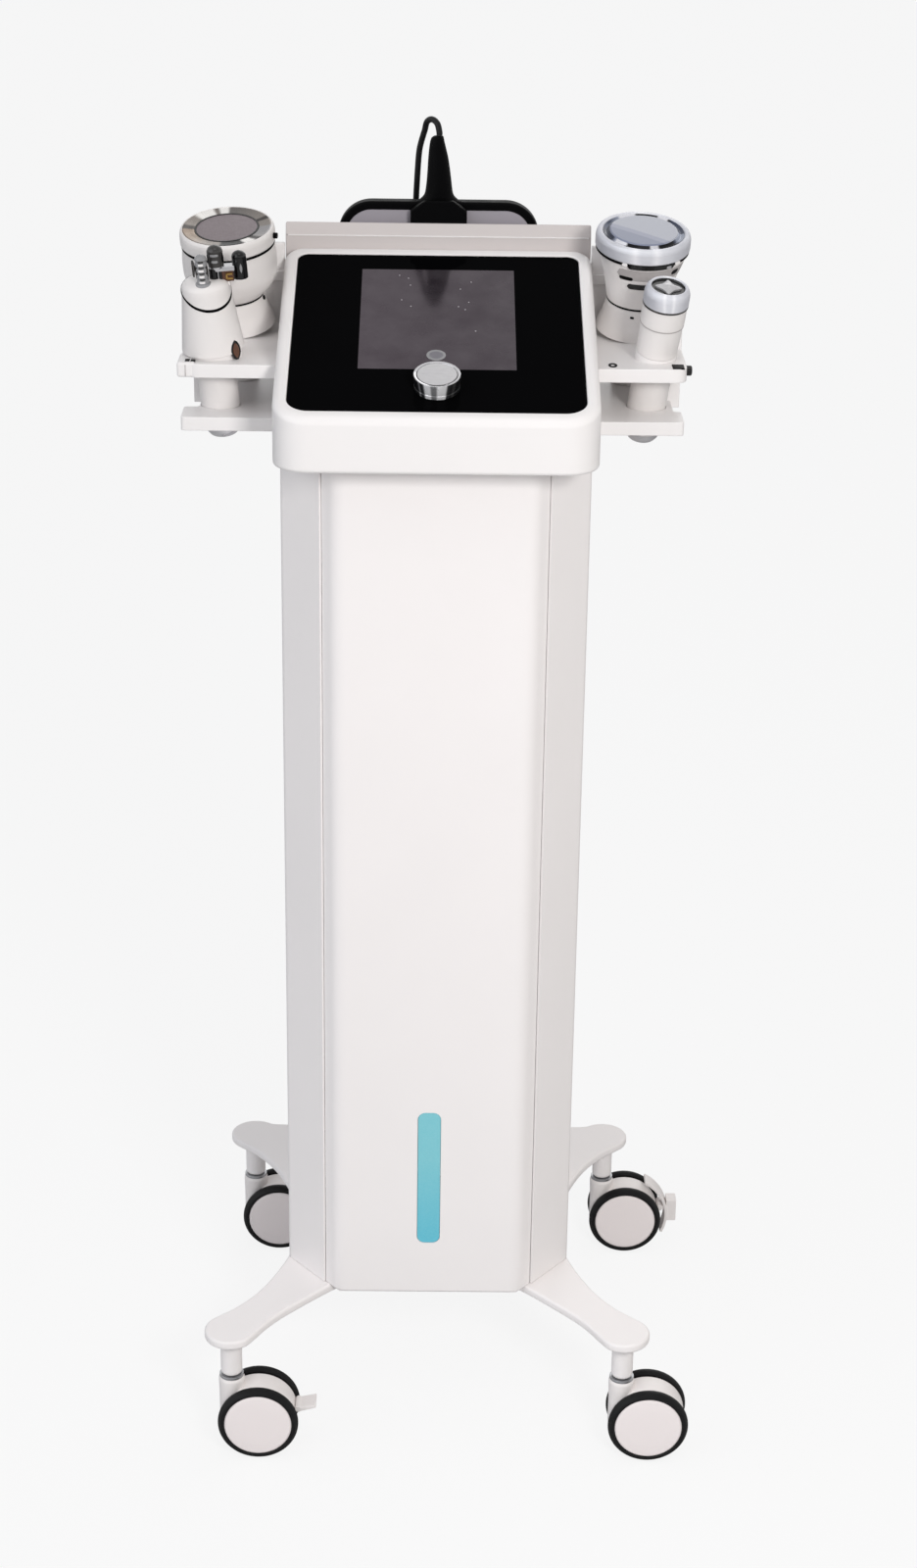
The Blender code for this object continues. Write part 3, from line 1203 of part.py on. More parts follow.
def handpieces_and_holders(machine):
    rear_left = tool_axis("rear_left", -1, REAR_LEFT_HEAD, REAR_LEFT_LEAN_DEG, machine)
    rear_right = tool_axis("rear_right", 1, REAR_RIGHT_HEAD, REAR_RIGHT_LEAN_DEG, machine)
    front_left = tool_axis("front_left", -1, FRONT_LEFT_HEAD, FRONT_LEFT_LEAN_DEG, machine)
    front_right = tool_axis("front_right", 1, FRONT_RIGHT_HEAD, FRONT_RIGHT_LEAN_DEG, machine)
    bpy.context.view_layer.update()
    holder(-1, "left", ((front_left, SEAT_RADIUS), (rear_left, SEAT_RADIUS)), machine)
    holder(1, "right", ((front_right, SMALL_SEAT_RADIUS), (rear_right, SEAT_RADIUS)), machine)
    round_head_body("cavitation", rear_left, CUP_SHARES)
    round_head("cavitation", rear_left, "chrome", "cavitation_disc", "grey")
    round_head_body("light_therapy", rear_right, CONE_SHARES)
    round_head("light_therapy", rear_right, "satin", "light_therapy_lens", "clear")
    barrel_tool("suction", front_left)
    small_tool("facial", front_right)


def set_down(machine):
    """Moves the whole machine so that the middle of its box, without the cord, stands over the origin."""
    bpy.context.view_layer.update()
    graph = bpy.context.evaluated_depsgraph_get()
    spots = []
    for obj in bpy.data.objects:
        if obj.type == "MESH" and obj.name != "pad_plug":
            solid = obj.evaluated_get(graph)
            spots += [solid.matrix_world @ vertex.co for vertex in solid.data.vertices]
    for axis in (0, 1):
        values = [spot[axis] for spot in spots]
        machine.location[axis] = -(min(values) + max(values)) / 2


def build():
    clear_scene()
    machine = empty("machine", None)
    base_plate(machine)
    casters_and_legs(machine)
    column_shell(machine)
    front_panel(machine)
    light_window(machine)
    rear_panel(machine)
    mains_inlet(machine)
    power_switch(machine)
    inner_works(machine)
    plane = console_frame(machine)
    bpy.context.view_layer.update()
    console_tray(machine)
    console_bezel(machine, plane)
    console_works(plane)
    control_knob(plane)
    rear_housing(machine)
    handpieces_and_holders(machine)
    pad(machine)
    pad_lead(machine)
    set_down(machine)


build()
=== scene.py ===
"""The looks of the slimming machine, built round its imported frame.

Pieces are modelled about the column's vertical axis and then moved with it to the row frame.
"""

import math

import bmesh
import bpy
from mathutils import Euler, Matrix, Vector
from mathutils.geometry import interpolate_bezier

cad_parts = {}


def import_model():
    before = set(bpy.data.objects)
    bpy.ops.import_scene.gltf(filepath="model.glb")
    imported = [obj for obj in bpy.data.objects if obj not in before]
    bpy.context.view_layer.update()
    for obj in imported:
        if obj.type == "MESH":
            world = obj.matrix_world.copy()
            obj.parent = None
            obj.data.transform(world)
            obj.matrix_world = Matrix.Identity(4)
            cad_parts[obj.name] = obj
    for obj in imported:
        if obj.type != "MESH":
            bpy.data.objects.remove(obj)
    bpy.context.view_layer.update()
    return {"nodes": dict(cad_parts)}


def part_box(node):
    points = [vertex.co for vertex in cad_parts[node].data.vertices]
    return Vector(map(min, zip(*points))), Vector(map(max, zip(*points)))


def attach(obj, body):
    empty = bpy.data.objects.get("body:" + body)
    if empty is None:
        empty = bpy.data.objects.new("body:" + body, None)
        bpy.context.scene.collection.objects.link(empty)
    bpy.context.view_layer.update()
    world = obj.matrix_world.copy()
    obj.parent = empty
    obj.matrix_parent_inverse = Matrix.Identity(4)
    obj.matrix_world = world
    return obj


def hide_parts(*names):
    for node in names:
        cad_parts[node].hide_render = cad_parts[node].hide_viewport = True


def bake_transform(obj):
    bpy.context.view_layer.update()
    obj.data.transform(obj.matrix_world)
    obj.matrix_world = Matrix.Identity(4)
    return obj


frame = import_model()

SHELL_LOW, SHELL_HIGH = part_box("column_shell")
AXIS = Matrix.Translation(((SHELL_LOW.x + SHELL_HIGH.x) / 2, 0, 0))
OUTWARD = Matrix.Rotation(math.pi / 2, 4, "Y")

SHEET = 0.002
GAP = 0.0003
ROUND_SIDES = 96
SMALL_SIDES = 48
SHARP_DEG = 38.0

# Column and base
COLUMN_BOTTOM = 0.130
COLUMN_TOP = 0.9467
COLUMN_HALF_WIDTH = 0.1325
COLUMN_REAR = 0.110
CHAMFER_INNER = (0.087, 0.1154)
CHAMFER_OUTER_Y = 0.058
SEAM_SHARE = 0.23
SEAM_GAP = 0.0006
PANEL_FRONT = 0.118
PANEL_FILLET = 0.016
BEND = 0.003
DOOR_HALF_WIDTH = 0.100
DOOR_BOTTOM = 0.185
DOOR_TOP = 0.895
LIGHT_HALF_WIDTH = 0.0105
LIGHT_BOTTOM = 0.1834
LIGHT_TOP = 0.3224
LIGHT_CORNER = 0.007

# Legs and casters
STEM = 0.1825
LEG_TOP = 0.1297
LEG_BOTTOM = 0.1207
LEG_TIP_RADIUS = 0.0247
LEG_ROOT_DEPTH = 0.045
# A leg's edges, in shares of the way from its root to its stem, across and along
LEG_OUTER_SHARES = ((0.0, 0.0), (0.10, 0.14), (0.35, 0.39), (0.62, 0.585), (0.95, 0.745))
LEG_INNER_SHARES = {
    -1: ((0.62, 0.75), (0.34, 0.30), (0.0, -0.20)),
    1: ((0.62, 1.26), (0.34, 1.10), (0.0, 0.92)),
}
LEG_TONGUE_SHARES = ((0.45, 0.70), (0.74, 0.28))
LEG_EDGE = 0.0026
BASE_INSET = 0.003
BASE_THICKNESS = 0.004
STEM_BOTTOM = 0.0818
AXLE_HEIGHT = 0.037675
TRAIL = 0.025
HOOD_RADIUS = 0.035
HOOD_HALF_WIDTH = 0.0118
WHEEL_INNER = 0.013
WHEEL_OUTER = 0.0235
DISC_RADIUS = 0.0315

# Console
TILT = math.radians(18.0)
CONSOLE_HALF_WIDTH = 0.136
CONSOLE_FRONT = 0.167
CONSOLE_REAR = 0.0985
CONSOLE_BOTTOM = 0.947
GLASS_FRONT = 0.155
GLASS_FRONT_HEIGHT = 0.9968
GLASS_HALF_WIDTH = 0.1239
GLASS_LENGTH = 0.2535
CONSOLE_CORNERS = (0.030, 0.018)
GLASS_CORNERS = (0.018, 0.010)
CORNER_STEPS = 12
SCREEN_HALF_WIDTH = 0.0666
SCREEN_START = 0.0658
SCREEN_END = 0.2284
KNOB_STATION = 0.037
# Dust on the screen: how far right of the middle, and how far up the glass
SPECKS = (
    (-0.0337, 0.2183), (-0.0259, 0.2135), (-0.0240, 0.2019), (-0.0314, 0.1770), (-0.0232, 0.1666),
    (0.0196, 0.1962), (0.0291, 0.2081), (0.0179, 0.1667), (0.0238, 0.1620), (0.0268, 0.1742),
    (0.0325, 0.1270),
)
HOUSING_REAR = 0.150
HOUSING_TOP = 1.100
HOUSING_REAR_TOP = 1.088
HOUSING_FOLD = 1.090
HOUSING_LIP = 0.006
HOUSING_WALL = 0.003
POCKET_FRONT = 0.1065
POCKET_FLOOR = 0.985

# Side holders
HOLDER_REACH = 0.2125
HOLDER_FRONT = 0.066
HOLDER_REAR = 0.096
HOLDER_CORNER = 0.012
LOBE_REACH = {-1: 0.2183, 1: 0.2115}
LOBE_REAR = 0.030
LOWER_EDGE_REACH = 0.205
WING_REACH = 0.1883
WING_TOP = 1.0840
PLATE_THICKNESS = 0.012
UPPER_PLATE_TOP = 1.0125
LOWER_PLATE_TOP = 0.9665
POST_WIDTH = 0.020
POST_FRONT = 0.006
POST_THICKNESS = 0.006
POST_RISE = 0.026
SEAT_RISE = 0.002
SEAT_RADIUS = {"cavitation": 0.024, "light_therapy": 0.024, "suction": 0.024, "facial": 0.0178}
BORE_RADIUS = 0.0174
BORE_LOW = -0.25
SEAT_ROOM = 0.012
PLATE_BITE = 0.006
WING_THICKNESS = 0.006
WING_BAND = (1.0500, 1.0595)

# Handpieces: where each head's middle stands, and how many degrees it leans forward and outward
HEADS = {
    "cavitation": ((-0.1836, 0.0365, 1.1092), (14.0, 3.0)),
    "light_therapy": ((0.1781, 0.0365, 1.1093), (14.0, 2.0)),
    "suction": ((-0.1958, -0.0400, 1.0668), (10.0, 5.0)),
    "facial": ((0.1944, -0.0500, 1.0807), (18.0, 6.0)),
}
HANDLE_RADIUS = 0.0168
HANDLE_END = {"cavitation": 0.9505, "light_therapy": 0.9505, "suction": 0.9505, "facial": 0.9465}
HEAD_DEPTH = 0.0142
HEAD_GROOVE = 0.0018
BOWL_RADIUS = 0.0400
FOOT_RADIUS = 0.0352
SUCTION_FOOT_RADIUS = 0.0270
BOWL_DEPTH = 0.0462
# A bowl's outer line, in shares of its depth and of its radius
BOWL_SHARES = {
    "cavitation": ((0.0, 1.0), (0.25, 1.03), (0.55, 1.02), (0.76, 0.93), (0.90, 0.81), (1.0, 0.69)),
    "light_therapy": ((0.0, 0.99), (0.15, 0.93), (0.50, 0.80), (0.80, 0.73), (1.0, 0.69)),
}

HEAD_RIM = 0.0415
HEAD_RIM_FOOT = 0.0405
WAIST_RADIUS = 0.0272
SKIRT = [(WAIST_RADIUS, -0.064), (0.0309, -0.0785)]
CROWN_RADIUS = 0.0212
FACIAL_RADIUS = 0.0176

# The pad in its pocket
PAD_HALF_WIDTH = 0.090
PAD_TOP = 1.116
PAD_CORNER = 0.030
PAD_FRONT = 0.1195
PAD_REAR = 0.1355
PAD_FACE_FRONT = 0.1197
PAD_FACE_REAR = 0.1214
PAD_RIM = 0.0072
BOSS_HEIGHT = 1.101
BOSS_HALF_SIZE = (0.025, 0.018)
BOSS_FRONT = 0.108
BOOT_MIDDLE = 0.1225

# The pad's cord, from the boot's tip over its arch and down behind the column to the plug
CORD_DIAMETER = 0.0055
CORD_STEPS = 8
PLUG_SIDE = 0.048
CORD_ROUTE = (
    (0.0000, BOOT_MIDDLE, 1.1748),
    (0.0000, BOOT_MIDDLE, 1.1762),
    (-0.0019, 0.1250, 1.1838),
    (-0.0065, 0.1311, 1.1868),
    (-0.0111, 0.1373, 1.1838),
    (-0.0131, 0.1400, 1.1762),
    (-0.0178, 0.1436, 1.1580),
    (-0.0198, 0.1470, 1.1300),
    (-0.0212, 0.1540, 1.0950),
    (-0.0220, 0.1600, 1.0500),
    (-0.0220, 0.1650, 0.9700),
    (-0.0200, 0.1720, 0.8000),
    (-0.0150, 0.1820, 0.5600),
    (-0.0080, 0.1920, 0.3600),
    (0.0050, 0.2000, 0.2350),
    (0.0280, 0.2030, 0.2080),
    (0.0480, 0.2010, 0.2600),
    (0.0540, 0.1980, 0.3500),
    (0.0500, 0.1860, 0.4270),
    (0.0480, 0.1630, 0.4500),
    (PLUG_SIDE, 0.1543, 0.4500),
)

# Noise squeezed along the axis, for the fine lines that turning leaves
TURNED = (1, 1, 14)

# The studio: a pale floor, an even world, three soft suns and one lamp
FLOOR_SIZE = 40.0
FLOOR_ALBEDO = 0.10
FLOOR_GLOW = 0.86
FLOOR_BOUNCE = 0.62
WORLD_LIGHT = 0.40
WORLD_PALE = (0.93, 0.93, 0.93)
WORLD_COOL = (0.90, 0.93, 1.0)
WORLD_WARM = (1.0, 0.97, 0.94)
# Each sun's name, the way to it, its strength, its angle in degrees and its colour
SUNS = (
    ("key", (0.06, -0.36, 1.0), 0.22, 30, (1.0, 0.985, 0.97)),
    ("back", (0.30, 1.0, 0.60), 0.32, 40, (1.0, 0.99, 0.98)),
    ("fill", (-0.9, -0.6, 0.55), 0.72, 60, (0.93, 0.96, 1.0)),
)
LAMP_PLACE = (0.65, -2.1, 1.75)
LAMP_AIM = (0.0, 0.0, 0.80)
LAMP_SIZE = 0.45
LAMP_WATTS = 28.5
LAMP_COLOUR = (1.0, 0.985, 0.97)

# The photograph's camera: its place from the column's axis, and its pitch, roll and yaw
CAMERA_PLACE = (0, -2.383, 1.5965)
CAMERA_TURN_DEG = (22.63, 0.805, 0.569)
CAMERA_LENS = 64.138


def from_bytes(*values):
    """A linear colour from the three numbers, 0 to 255, that a screen shows."""
    shares = [value / 255 for value in values]
    return tuple(s / 12.92 if s <= 0.04045 else ((s + 0.055) / 1.055) ** 2.4 for s in shares)


class Nodes:
    """A short way to wire the nodes of a material or a world."""

    def __init__(self, owner):
        self.tree = owner.node_tree
        self.shader = self.tree.nodes.get("Principled BSDF")
        places = self.add("ShaderNodeTexCoord").outputs
        self.point = places["Object"]
        self.direction = places["Generated"]

    def add(self, kind, inputs=None, **settings):
        node = self.tree.nodes.new(kind)
        for key, value in settings.items():
            setattr(node, key, value)
        for key, value in (inputs or {}).items():
            if isinstance(value, bpy.types.NodeSocket):
                self.tree.links.new(value, node.inputs[key])
            else:
                node.inputs[key].default_value = value
        return node

    def noise(self, size, detail=3.0, stretch=None):
        """Noise whose features are about size metres across."""
        point = self.point
        if stretch:
            point = self.add("ShaderNodeMapping", {"Vector": point, "Scale": stretch}).outputs["Vector"]
        inputs = {"Vector": point, "Scale": 1 / size, "Detail": detail}
        return self.add("ShaderNodeTexNoise", inputs).outputs["Fac"]

    def ranged(self, value, low, high, start=0.3, end=0.7, **settings):
        inputs = {"Value": value, "From Min": start, "From Max": end, "To Min": low, "To Max": high}
        return self.add("ShaderNodeMapRange", inputs, **settings).outputs["Result"]

    def mixed(self, factor, first, second):
        """A colour between two, which are sockets or three numbers each."""
        first, second = (c if isinstance(c, bpy.types.NodeSocket) else (*c, 1.0) for c in (first, second))
        return self.add("ShaderNodeMix", {0: factor, 6: first, 7: second}, data_type="RGBA").outputs[2]

    def split(self, vector):
        return self.add("ShaderNodeSeparateXYZ", {0: vector}).outputs

    def reckon(self, operation, *values, kind="ShaderNodeMath"):
        return self.add(kind, dict(enumerate(values)), operation=operation).outputs

    def from_centre(self, centre):
        """Where a point lies as seen from a centre."""
        return self.reckon("SUBTRACT", self.point, tuple(centre), kind="ShaderNodeVectorMath")[0]

    def coat(self, tone, size, detail, low, high):
        """The tone, and a roughness that drifts between two values."""
        self.wire(tone, "Base Color")
        self.wire(self.ranged(self.noise(size, detail), low, high), "Roughness")

    def wire(self, value, socket):
        self.tree.links.new(value, self.shader.inputs[socket])

    def bump(self, value, height):
        inputs = {"Height": value, "Distance": height, "Strength": 1.0}
        self.wire(self.add("ShaderNodeBump", inputs).outputs["Normal"], "Normal")


def new_material(name, colour, roughness, metallic=0.0, **sockets):
    made = bpy.data.materials.new(name)
    made.use_nodes = True
    shader = made.node_tree.nodes["Principled BSDF"]
    values = {"Base Color": (*colour, 1.0), "Roughness": roughness, "Metallic": metallic}
    values.update({key.replace("_", " "): value for key, value in sockets.items()})
    for key, value in values.items():
        shader.inputs[key].default_value = value
    made.diffuse_color = (*colour, 1.0)
    return made


def moulded(name, colour, roughness, grain=0.0012, height=0.00001, mottle=0.03, spread=0.06, **sockets):
    """Paint or plastic: a fine grain, slow drifts of tone and roughness, and faint handling marks."""
    made = new_material(name, colour, roughness, **sockets)
    nodes = Nodes(made)
    dark = tuple(value * (1 - mottle) for value in colour)
    light = tuple(min(value * (1 + mottle / 2), 1.0) for value in colour)
    tone = nodes.mixed(nodes.ranged(nodes.noise(0.11, 4.0), 0.0, 1.0), dark, light)
    nodes.coat(tone, 0.013, 5.0, roughness - spread, roughness + spread)
    nodes.bump(nodes.noise(grain, 2.0), height)
    return made


def turned_metal(name, colour, roughness, height=0.000006, metallic=1.0):
    """Metal with the fine lines that turning or polishing leaves."""
    made = new_material(name, colour, roughness, metallic)
    nodes = Nodes(made)
    lines = nodes.noise(0.006, 3.0, TURNED)
    dark = tuple(value * 0.9 for value in colour)
    tone = nodes.mixed(nodes.ranged(lines, 0.0, 1.0), dark, colour)
    nodes.coat(tone, 0.006, 4.0, roughness * 0.75, roughness * 1.3)
    nodes.bump(lines, height)
    return made


def light_material():
    """The light window: greener at its top and bluer below, with a soft edge behind the pane."""
    made = new_material("aqua window", from_bytes(126, 199, 211), 0.28, Coat_Weight=0.3)
    nodes = Nodes(made)
    share = nodes.ranged(nodes.split(nodes.point)["Z"], 0.0, 1.0, LIGHT_BOTTOM, LIGHT_BOTTOM + 0.09)
    tone = nodes.mixed(share, from_bytes(92, 194, 216), from_bytes(126, 204, 215))
    speck = nodes.ranged(nodes.noise(0.0016, 3.0), 0.0, 0.05)
    nodes.wire(nodes.mixed(speck, tone, from_bytes(230, 250, 250)), "Base Color")
    nodes.bump(nodes.noise(0.004, 2.0), 0.00001)
    return made


def screen_material():
    """A switched-off screen under its glass: mauve grey, made a little paler to the left by a painted
    reflection, with a faint haze.
    """
    made = new_material("screen", from_bytes(34, 29, 34), 0.10, Specular_IOR_Level=0.45,
                        Specular_Tint=(1.0, 0.73, 0.94, 1.0))
    nodes = Nodes(made)
    ends = [AXIS.translation.x + side * SCREEN_HALF_WIDTH for side in (-1, 1)]
    # Painted reflection: the screen's tone grows paler towards its left end.
    side = nodes.ranged(nodes.split(nodes.point)["X"], 1.0, 0.0, *ends)
    tone = nodes.mixed(side, from_bytes(30, 25, 30), from_bytes(42, 35, 41))
    haze = nodes.ranged(nodes.noise(0.03, 3.0), 0.0, 0.04)
    nodes.coat(nodes.mixed(haze, tone, from_bytes(215, 210, 214)), 0.02, 4.0, 0.10, 0.16)
    return made


def speckled_disc():
    """The grey face of a head: fine metallic speckle in a matt coat."""
    made = new_material("grey face", from_bytes(132, 121, 125), 0.48, 0.10)
    nodes = Nodes(made)
    speckle = nodes.ranged(nodes.noise(0.0009, 2.0), 0.0, 1.0)
    tone = nodes.mixed(speckle, from_bytes(118, 107, 111), from_bytes(136, 125, 128))
    nodes.coat(tone, 0.004, 3.0, 0.36, 0.50)
    nodes.bump(speckle, 0.000012)
    return made


def head_centre(tool):
    return AXIS @ Vector(HEADS[tool][0])


def around(nodes, centre):
    """The share of a turn at which a point lies about the centre: 0 at the right, and on past the back."""
    split = nodes.split(nodes.from_centre(centre))
    turn = nodes.reckon("ARCTAN2", split["Y"], split["X"])[0]
    return nodes.reckon("FRACT", nodes.reckon("DIVIDE", turn, math.tau)[0])[0]


def tones_around(nodes, centre, stops):
    """A tone that changes round a centre. Each stop is an angle in degrees and the tone's three bytes."""
    ramp = nodes.add("ShaderNodeValToRGB", {"Fac": around(nodes, centre)})
    elements = ramp.color_ramp.elements
    ordered = sorted((angle % 360 / 360, tone) for angle, tone in stops)
    for index, (share, tone) in enumerate(ordered):
        element = elements[index] if index < 2 else elements.new(share)
        element.position = share
        element.color = (*from_bytes(*tone), 1.0)
    return ramp.outputs["Color"]


def banded(name, metallic, roughness, centre, stops, grain, height, rough_size=0.006, streaks=0.0):
    """Polished metal whose tones, painted highlights and reflections, change round a centre. Its roughness
    runs between two values.
    """
    made = new_material(name, from_bytes(*stops[0][1]), roughness[0], metallic)
    nodes = Nodes(made)
    tone = tones_around(nodes, centre, stops)
    if streaks:
        lines = nodes.ranged(nodes.noise(0.006, 3.0, TURNED), 0.0, streaks)
        tone = nodes.mixed(lines, tone, from_bytes(178, 179, 186))
    nodes.coat(tone, rough_size, 4.0, *roughness)
    nodes.bump(nodes.noise(*grain), height)
    return made


def nickel_band_painted_glints():
    """The band round the rear left head: warm grey metal with painted glints and dark painted reflections
    round it.
    """
    grey, pale, dark, black = (142, 135, 130), (250, 247, 244), (70, 66, 65), (14, 14, 15)
    stops = (
        (0, grey), (18, grey), (21, dark), (27, dark), (30, grey), (78, (120, 116, 114)),
        (88, (118, 114, 112)), (92, pale), (102, pale), (106, (128, 122, 119)), (110, grey), (114, pale),
        (138, pale), (144, grey), (166, grey), (172, dark), (179, dark), (184, (138, 122, 108)),
        (215, (134, 121, 109)), (240, grey), (262, grey), (266, black), (296, black), (300, pale),
        (312, pale), (316, dark), (322, dark), (326, (160, 157, 157)), (345, (152, 150, 152)),
    )
    centre = head_centre("cavitation")
    return banded("nickel", 1.0, (0.18, 0.32), centre, stops, (0.004, 3.0, TURNED), 0.000004)


def satin_collar_painted_sheen(tool, name):
    """Brushed metal with painted highlights: pale upright bands at its front and back, and darker painted
    shade at its sides.
    """
    side, middle, painted_sheen = (206, 207, 214), (228, 229, 235), (250, 250, 254)
    stops = (
        (0, side), (70, middle), (90, painted_sheen), (110, middle), (180, side), (225, side), (248, middle),
        (256, painted_sheen), (264, middle), (276, middle), (284, painted_sheen), (292, middle), (325, side),
    )
    grain = (0.006, 3.0, TURNED)
    return banded(name, 0.3, (0.40, 0.52), head_centre(tool), stops, grain, 0.000004, streaks=0.12)


def knob_side():
    """The knob's polished side: dark, with a pale painted highlight at its front and another at its back."""
    dark, dim, grey, pale = (30, 30, 32), (60, 60, 62), (128, 128, 130), (238, 238, 240)
    painted_gleam = (
        (-48, dark), (-46, grey), (-42, grey), (-40, dark), (-32, dim), (-28, pale), (-16, pale), (-12, grey),
        (-2, grey), (2, pale), (20, pale), (24, dim), (34, dark), (42, (70, 70, 70)), (48, dark),
    )
    stops = [(middle + angle, tone) for middle in (-90, 90) for angle, tone in painted_gleam]
    centre = AXIS @ Vector((0, KNOB_STATION * math.cos(TILT) - GLASS_FRONT, 0))
    return banded("knob side", 0.35, (0.24, 0.36), centre, stops, (0.004, 3.0, TURNED), 0.000003)


def lens_rim_painted_reflections():
    """The dark facets round the lens, with painted reflections round them: dark bands broken by pale painted
    glints.
    """
    navy, slate, black = (66, 72, 90), (52, 56, 70), (24, 24, 28)
    pale, mist = (232, 232, 238), (150, 156, 172)
    stops = (
        (0, navy), (40, navy), (47, black), (50, pale), (64, pale), (67, black), (98, black), (102, pale),
        (126, pale), (130, mist), (150, navy), (166, navy), (176, slate), (208, slate), (214, mist),
        (218, pale), (236, pale), (240, black), (276, black), (279, pale), (290, pale), (293, black),
        (322, black), (328, navy), (334, mist), (350, mist),
    )
    centre = head_centre("light_therapy")
    return banded("lens rim", 0.6, (0.10, 0.22), centre, stops, (0.0012, 2.0), 0.00001, 0.005)


def lens_material():
    """The lens: pale lavender, with a darker painted reflection across its near left part and paler painted
    sheen beyond it.
    """
    made = new_material("lens", from_bytes(196, 198, 210), 0.12)
    nodes = Nodes(made)
    from_centre = nodes.from_centre(head_centre("light_therapy"))
    lean = nodes.reckon("DOT_PRODUCT", from_centre, (0.52, 0.85, 0.0), kind="ShaderNodeVectorMath")["Value"]
    # Painted reflection: darker across the near left part, then stepping paler further in.
    share = nodes.ranged(lean, 0.0, 1.0, -0.0128, -0.0108)
    painted_sheen = nodes.ranged(lean, 0.0, 1.0, -0.0062, -0.0050)
    pale = nodes.mixed(painted_sheen, from_bytes(146, 150, 168), from_bytes(168, 171, 182))
    nodes.coat(nodes.mixed(share, from_bytes(126, 132, 152), pale), 0.01, 3.0, 0.08, 0.15)
    nodes.bump(nodes.noise(0.0016, 2.0), 0.000004)
    return made


def make_finishes():
    """Each finish by its own name, with the record's slot that it belongs to."""
    calm = {"mottle": 0.012, "spread": 0.025}
    dull = {"mottle": 0.2, "Specular_IOR_Level": 0.25}
    glassy = {"mottle": 0.3, "spread": 0.03}
    finishes = {
        "screen": (screen_material(), "screen"),
        "aqua": (light_material(), "aqua_window"),
        "grey face": (speckled_disc(), "grey_face"),
        "round collar": (satin_collar_painted_sheen("light_therapy", "round collar"), "satin_metal"),
        "slim collar": (satin_collar_painted_sheen("facial", "slim collar"), "satin_metal"),
        "nickel": (nickel_band_painted_glints(), "chrome"),
        "knob side": (knob_side(), "chrome"),
        "lens": (lens_material(), "clear_lens"),
        "lens rim": (lens_rim_painted_reflections(), "black_gloss"),
    }
    # Name, slot, tone, roughness, the grain's size and height where they aren't the usual, and settings
    for name, slot, tone, roughness, *grain, settings in (
        ("white paint", "white_paint", (246, 242, 241), 0.42, 0.0016, 0.000010, calm),
        # A greyer copy of the white paint, used for the rear box.
        ("housing paint", "white_paint", (205, 198, 196), 0.42, 0.0016, 0.000010, calm),
        ("white plastic", "white_plastic", (240, 237, 236), 0.34, 0.0011, 0.000006, calm),
        ("tool white", "white_plastic", (233, 229, 227), 0.34, 0.0011, 0.000006, calm),
        ("holder white", "white_plastic", (238, 235, 234), 0.36, 0.0011, 0.000006, calm),
        ("wheel disc", "white_plastic", (246, 238, 237), 0.36, calm),
        ("caster white", "white_plastic", (243, 238, 236), 0.34, calm),
        ("shadow grey", "white_plastic", (176, 171, 170), 0.5, calm),
        ("tyre", "tyre", (13, 13, 14), 0.55, 0.0007, 0.00003, dull),
        ("black", "black_plastic", (5, 5, 6), 0.5, 0.0008, 0.00002,
         {"mottle": 0.2, "Specular_IOR_Level": 0.06}),
        ("black gloss", "black_gloss", (9, 9, 10), 0.14, {"spread": 0.03}),
        ("cord", "cord", (20, 20, 21), 0.46, 0.0009, 0.00003, dull),
        ("black glass", "black_glass", (6, 6, 7), 0.05,
         {"mottle": 0.1, "spread": 0.012, "Specular_IOR_Level": 0.003}),
        ("board", "board", (30, 96, 62), 0.5, {"mottle": 0.25}),
        ("pad face", "grey_face", (158, 153, 160), 0.40, 0.0009, 0.00001, {}),
        ("dust", "screen", (206, 202, 206), 0.6, {}),
        ("window mark", "grey_face", (112, 110, 117), 0.4, {}),
        ("clear", "clear_lens", (150, 150, 152), 0.10, glassy),
        ("dark glass", "black_gloss", (58, 56, 55), 0.08, glassy),
        ("amber", "black_gloss", (92, 60, 44), 0.10, glassy),
        ("pump", "pump_body", (60, 61, 64), 0.6, {"mottle": 0.2}),
    ):
        finishes[name] = (moulded(name, from_bytes(*tone), roughness, *grain, **settings), slot)
    for name, slot, tone, roughness, settings in (
        ("satin", "satin_metal", (204, 203, 205), 0.38, {"metallic": 0.6}),
        ("chrome", "chrome", (222, 221, 224), 0.09, {"height": 0.000002}),
        ("steel", "steel", (176, 177, 180), 0.36, {}),
        ("gold", "chrome", (196, 158, 92), 0.25, {}),
    ):
        finishes[name] = (turned_metal(name, from_bytes(*tone), roughness, **settings), slot)
    return finishes


FINISHES = make_finishes()


def shown(name, data):
    """A new object with this data, in the scene."""
    obj = bpy.data.objects.new(name, data)
    bpy.context.scene.collection.objects.link(obj)
    return obj


def mesh_data(name, mesh):
    """The bmesh as mesh data. The bmesh is used up."""
    data = bpy.data.meshes.new(name)
    mesh.to_mesh(data)
    mesh.free()
    return data


def place(name, mesh, finish, body="machine", nodes=(), at=None):
    """A visible piece from a bmesh in its own frame, which at puts in place about the column's axis."""
    bmesh.ops.recalc_face_normals(mesh, faces=mesh.faces)
    data = mesh_data(name, mesh)
    data.transform(AXIS @ (at or Matrix.Identity(4)))
    data.shade_smooth()
    data.set_sharp_from_angle(angle=math.radians(SHARP_DEG))
    obj = shown(name, data)
    material, slot = FINISHES[finish]
    data.materials.append(material)
    weighted = obj.modifiers.new("normals", "WEIGHTED_NORMAL")
    weighted.keep_sharp = True
    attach(obj, body)
    if nodes:
        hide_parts(*nodes)
    return obj


def dress(node, finish):
    """Gives a CAD node that stays its procedural material."""
    obj = frame["nodes"][node]
    obj.data.materials.clear()
    obj.data.materials.append(FINISHES[finish][0])


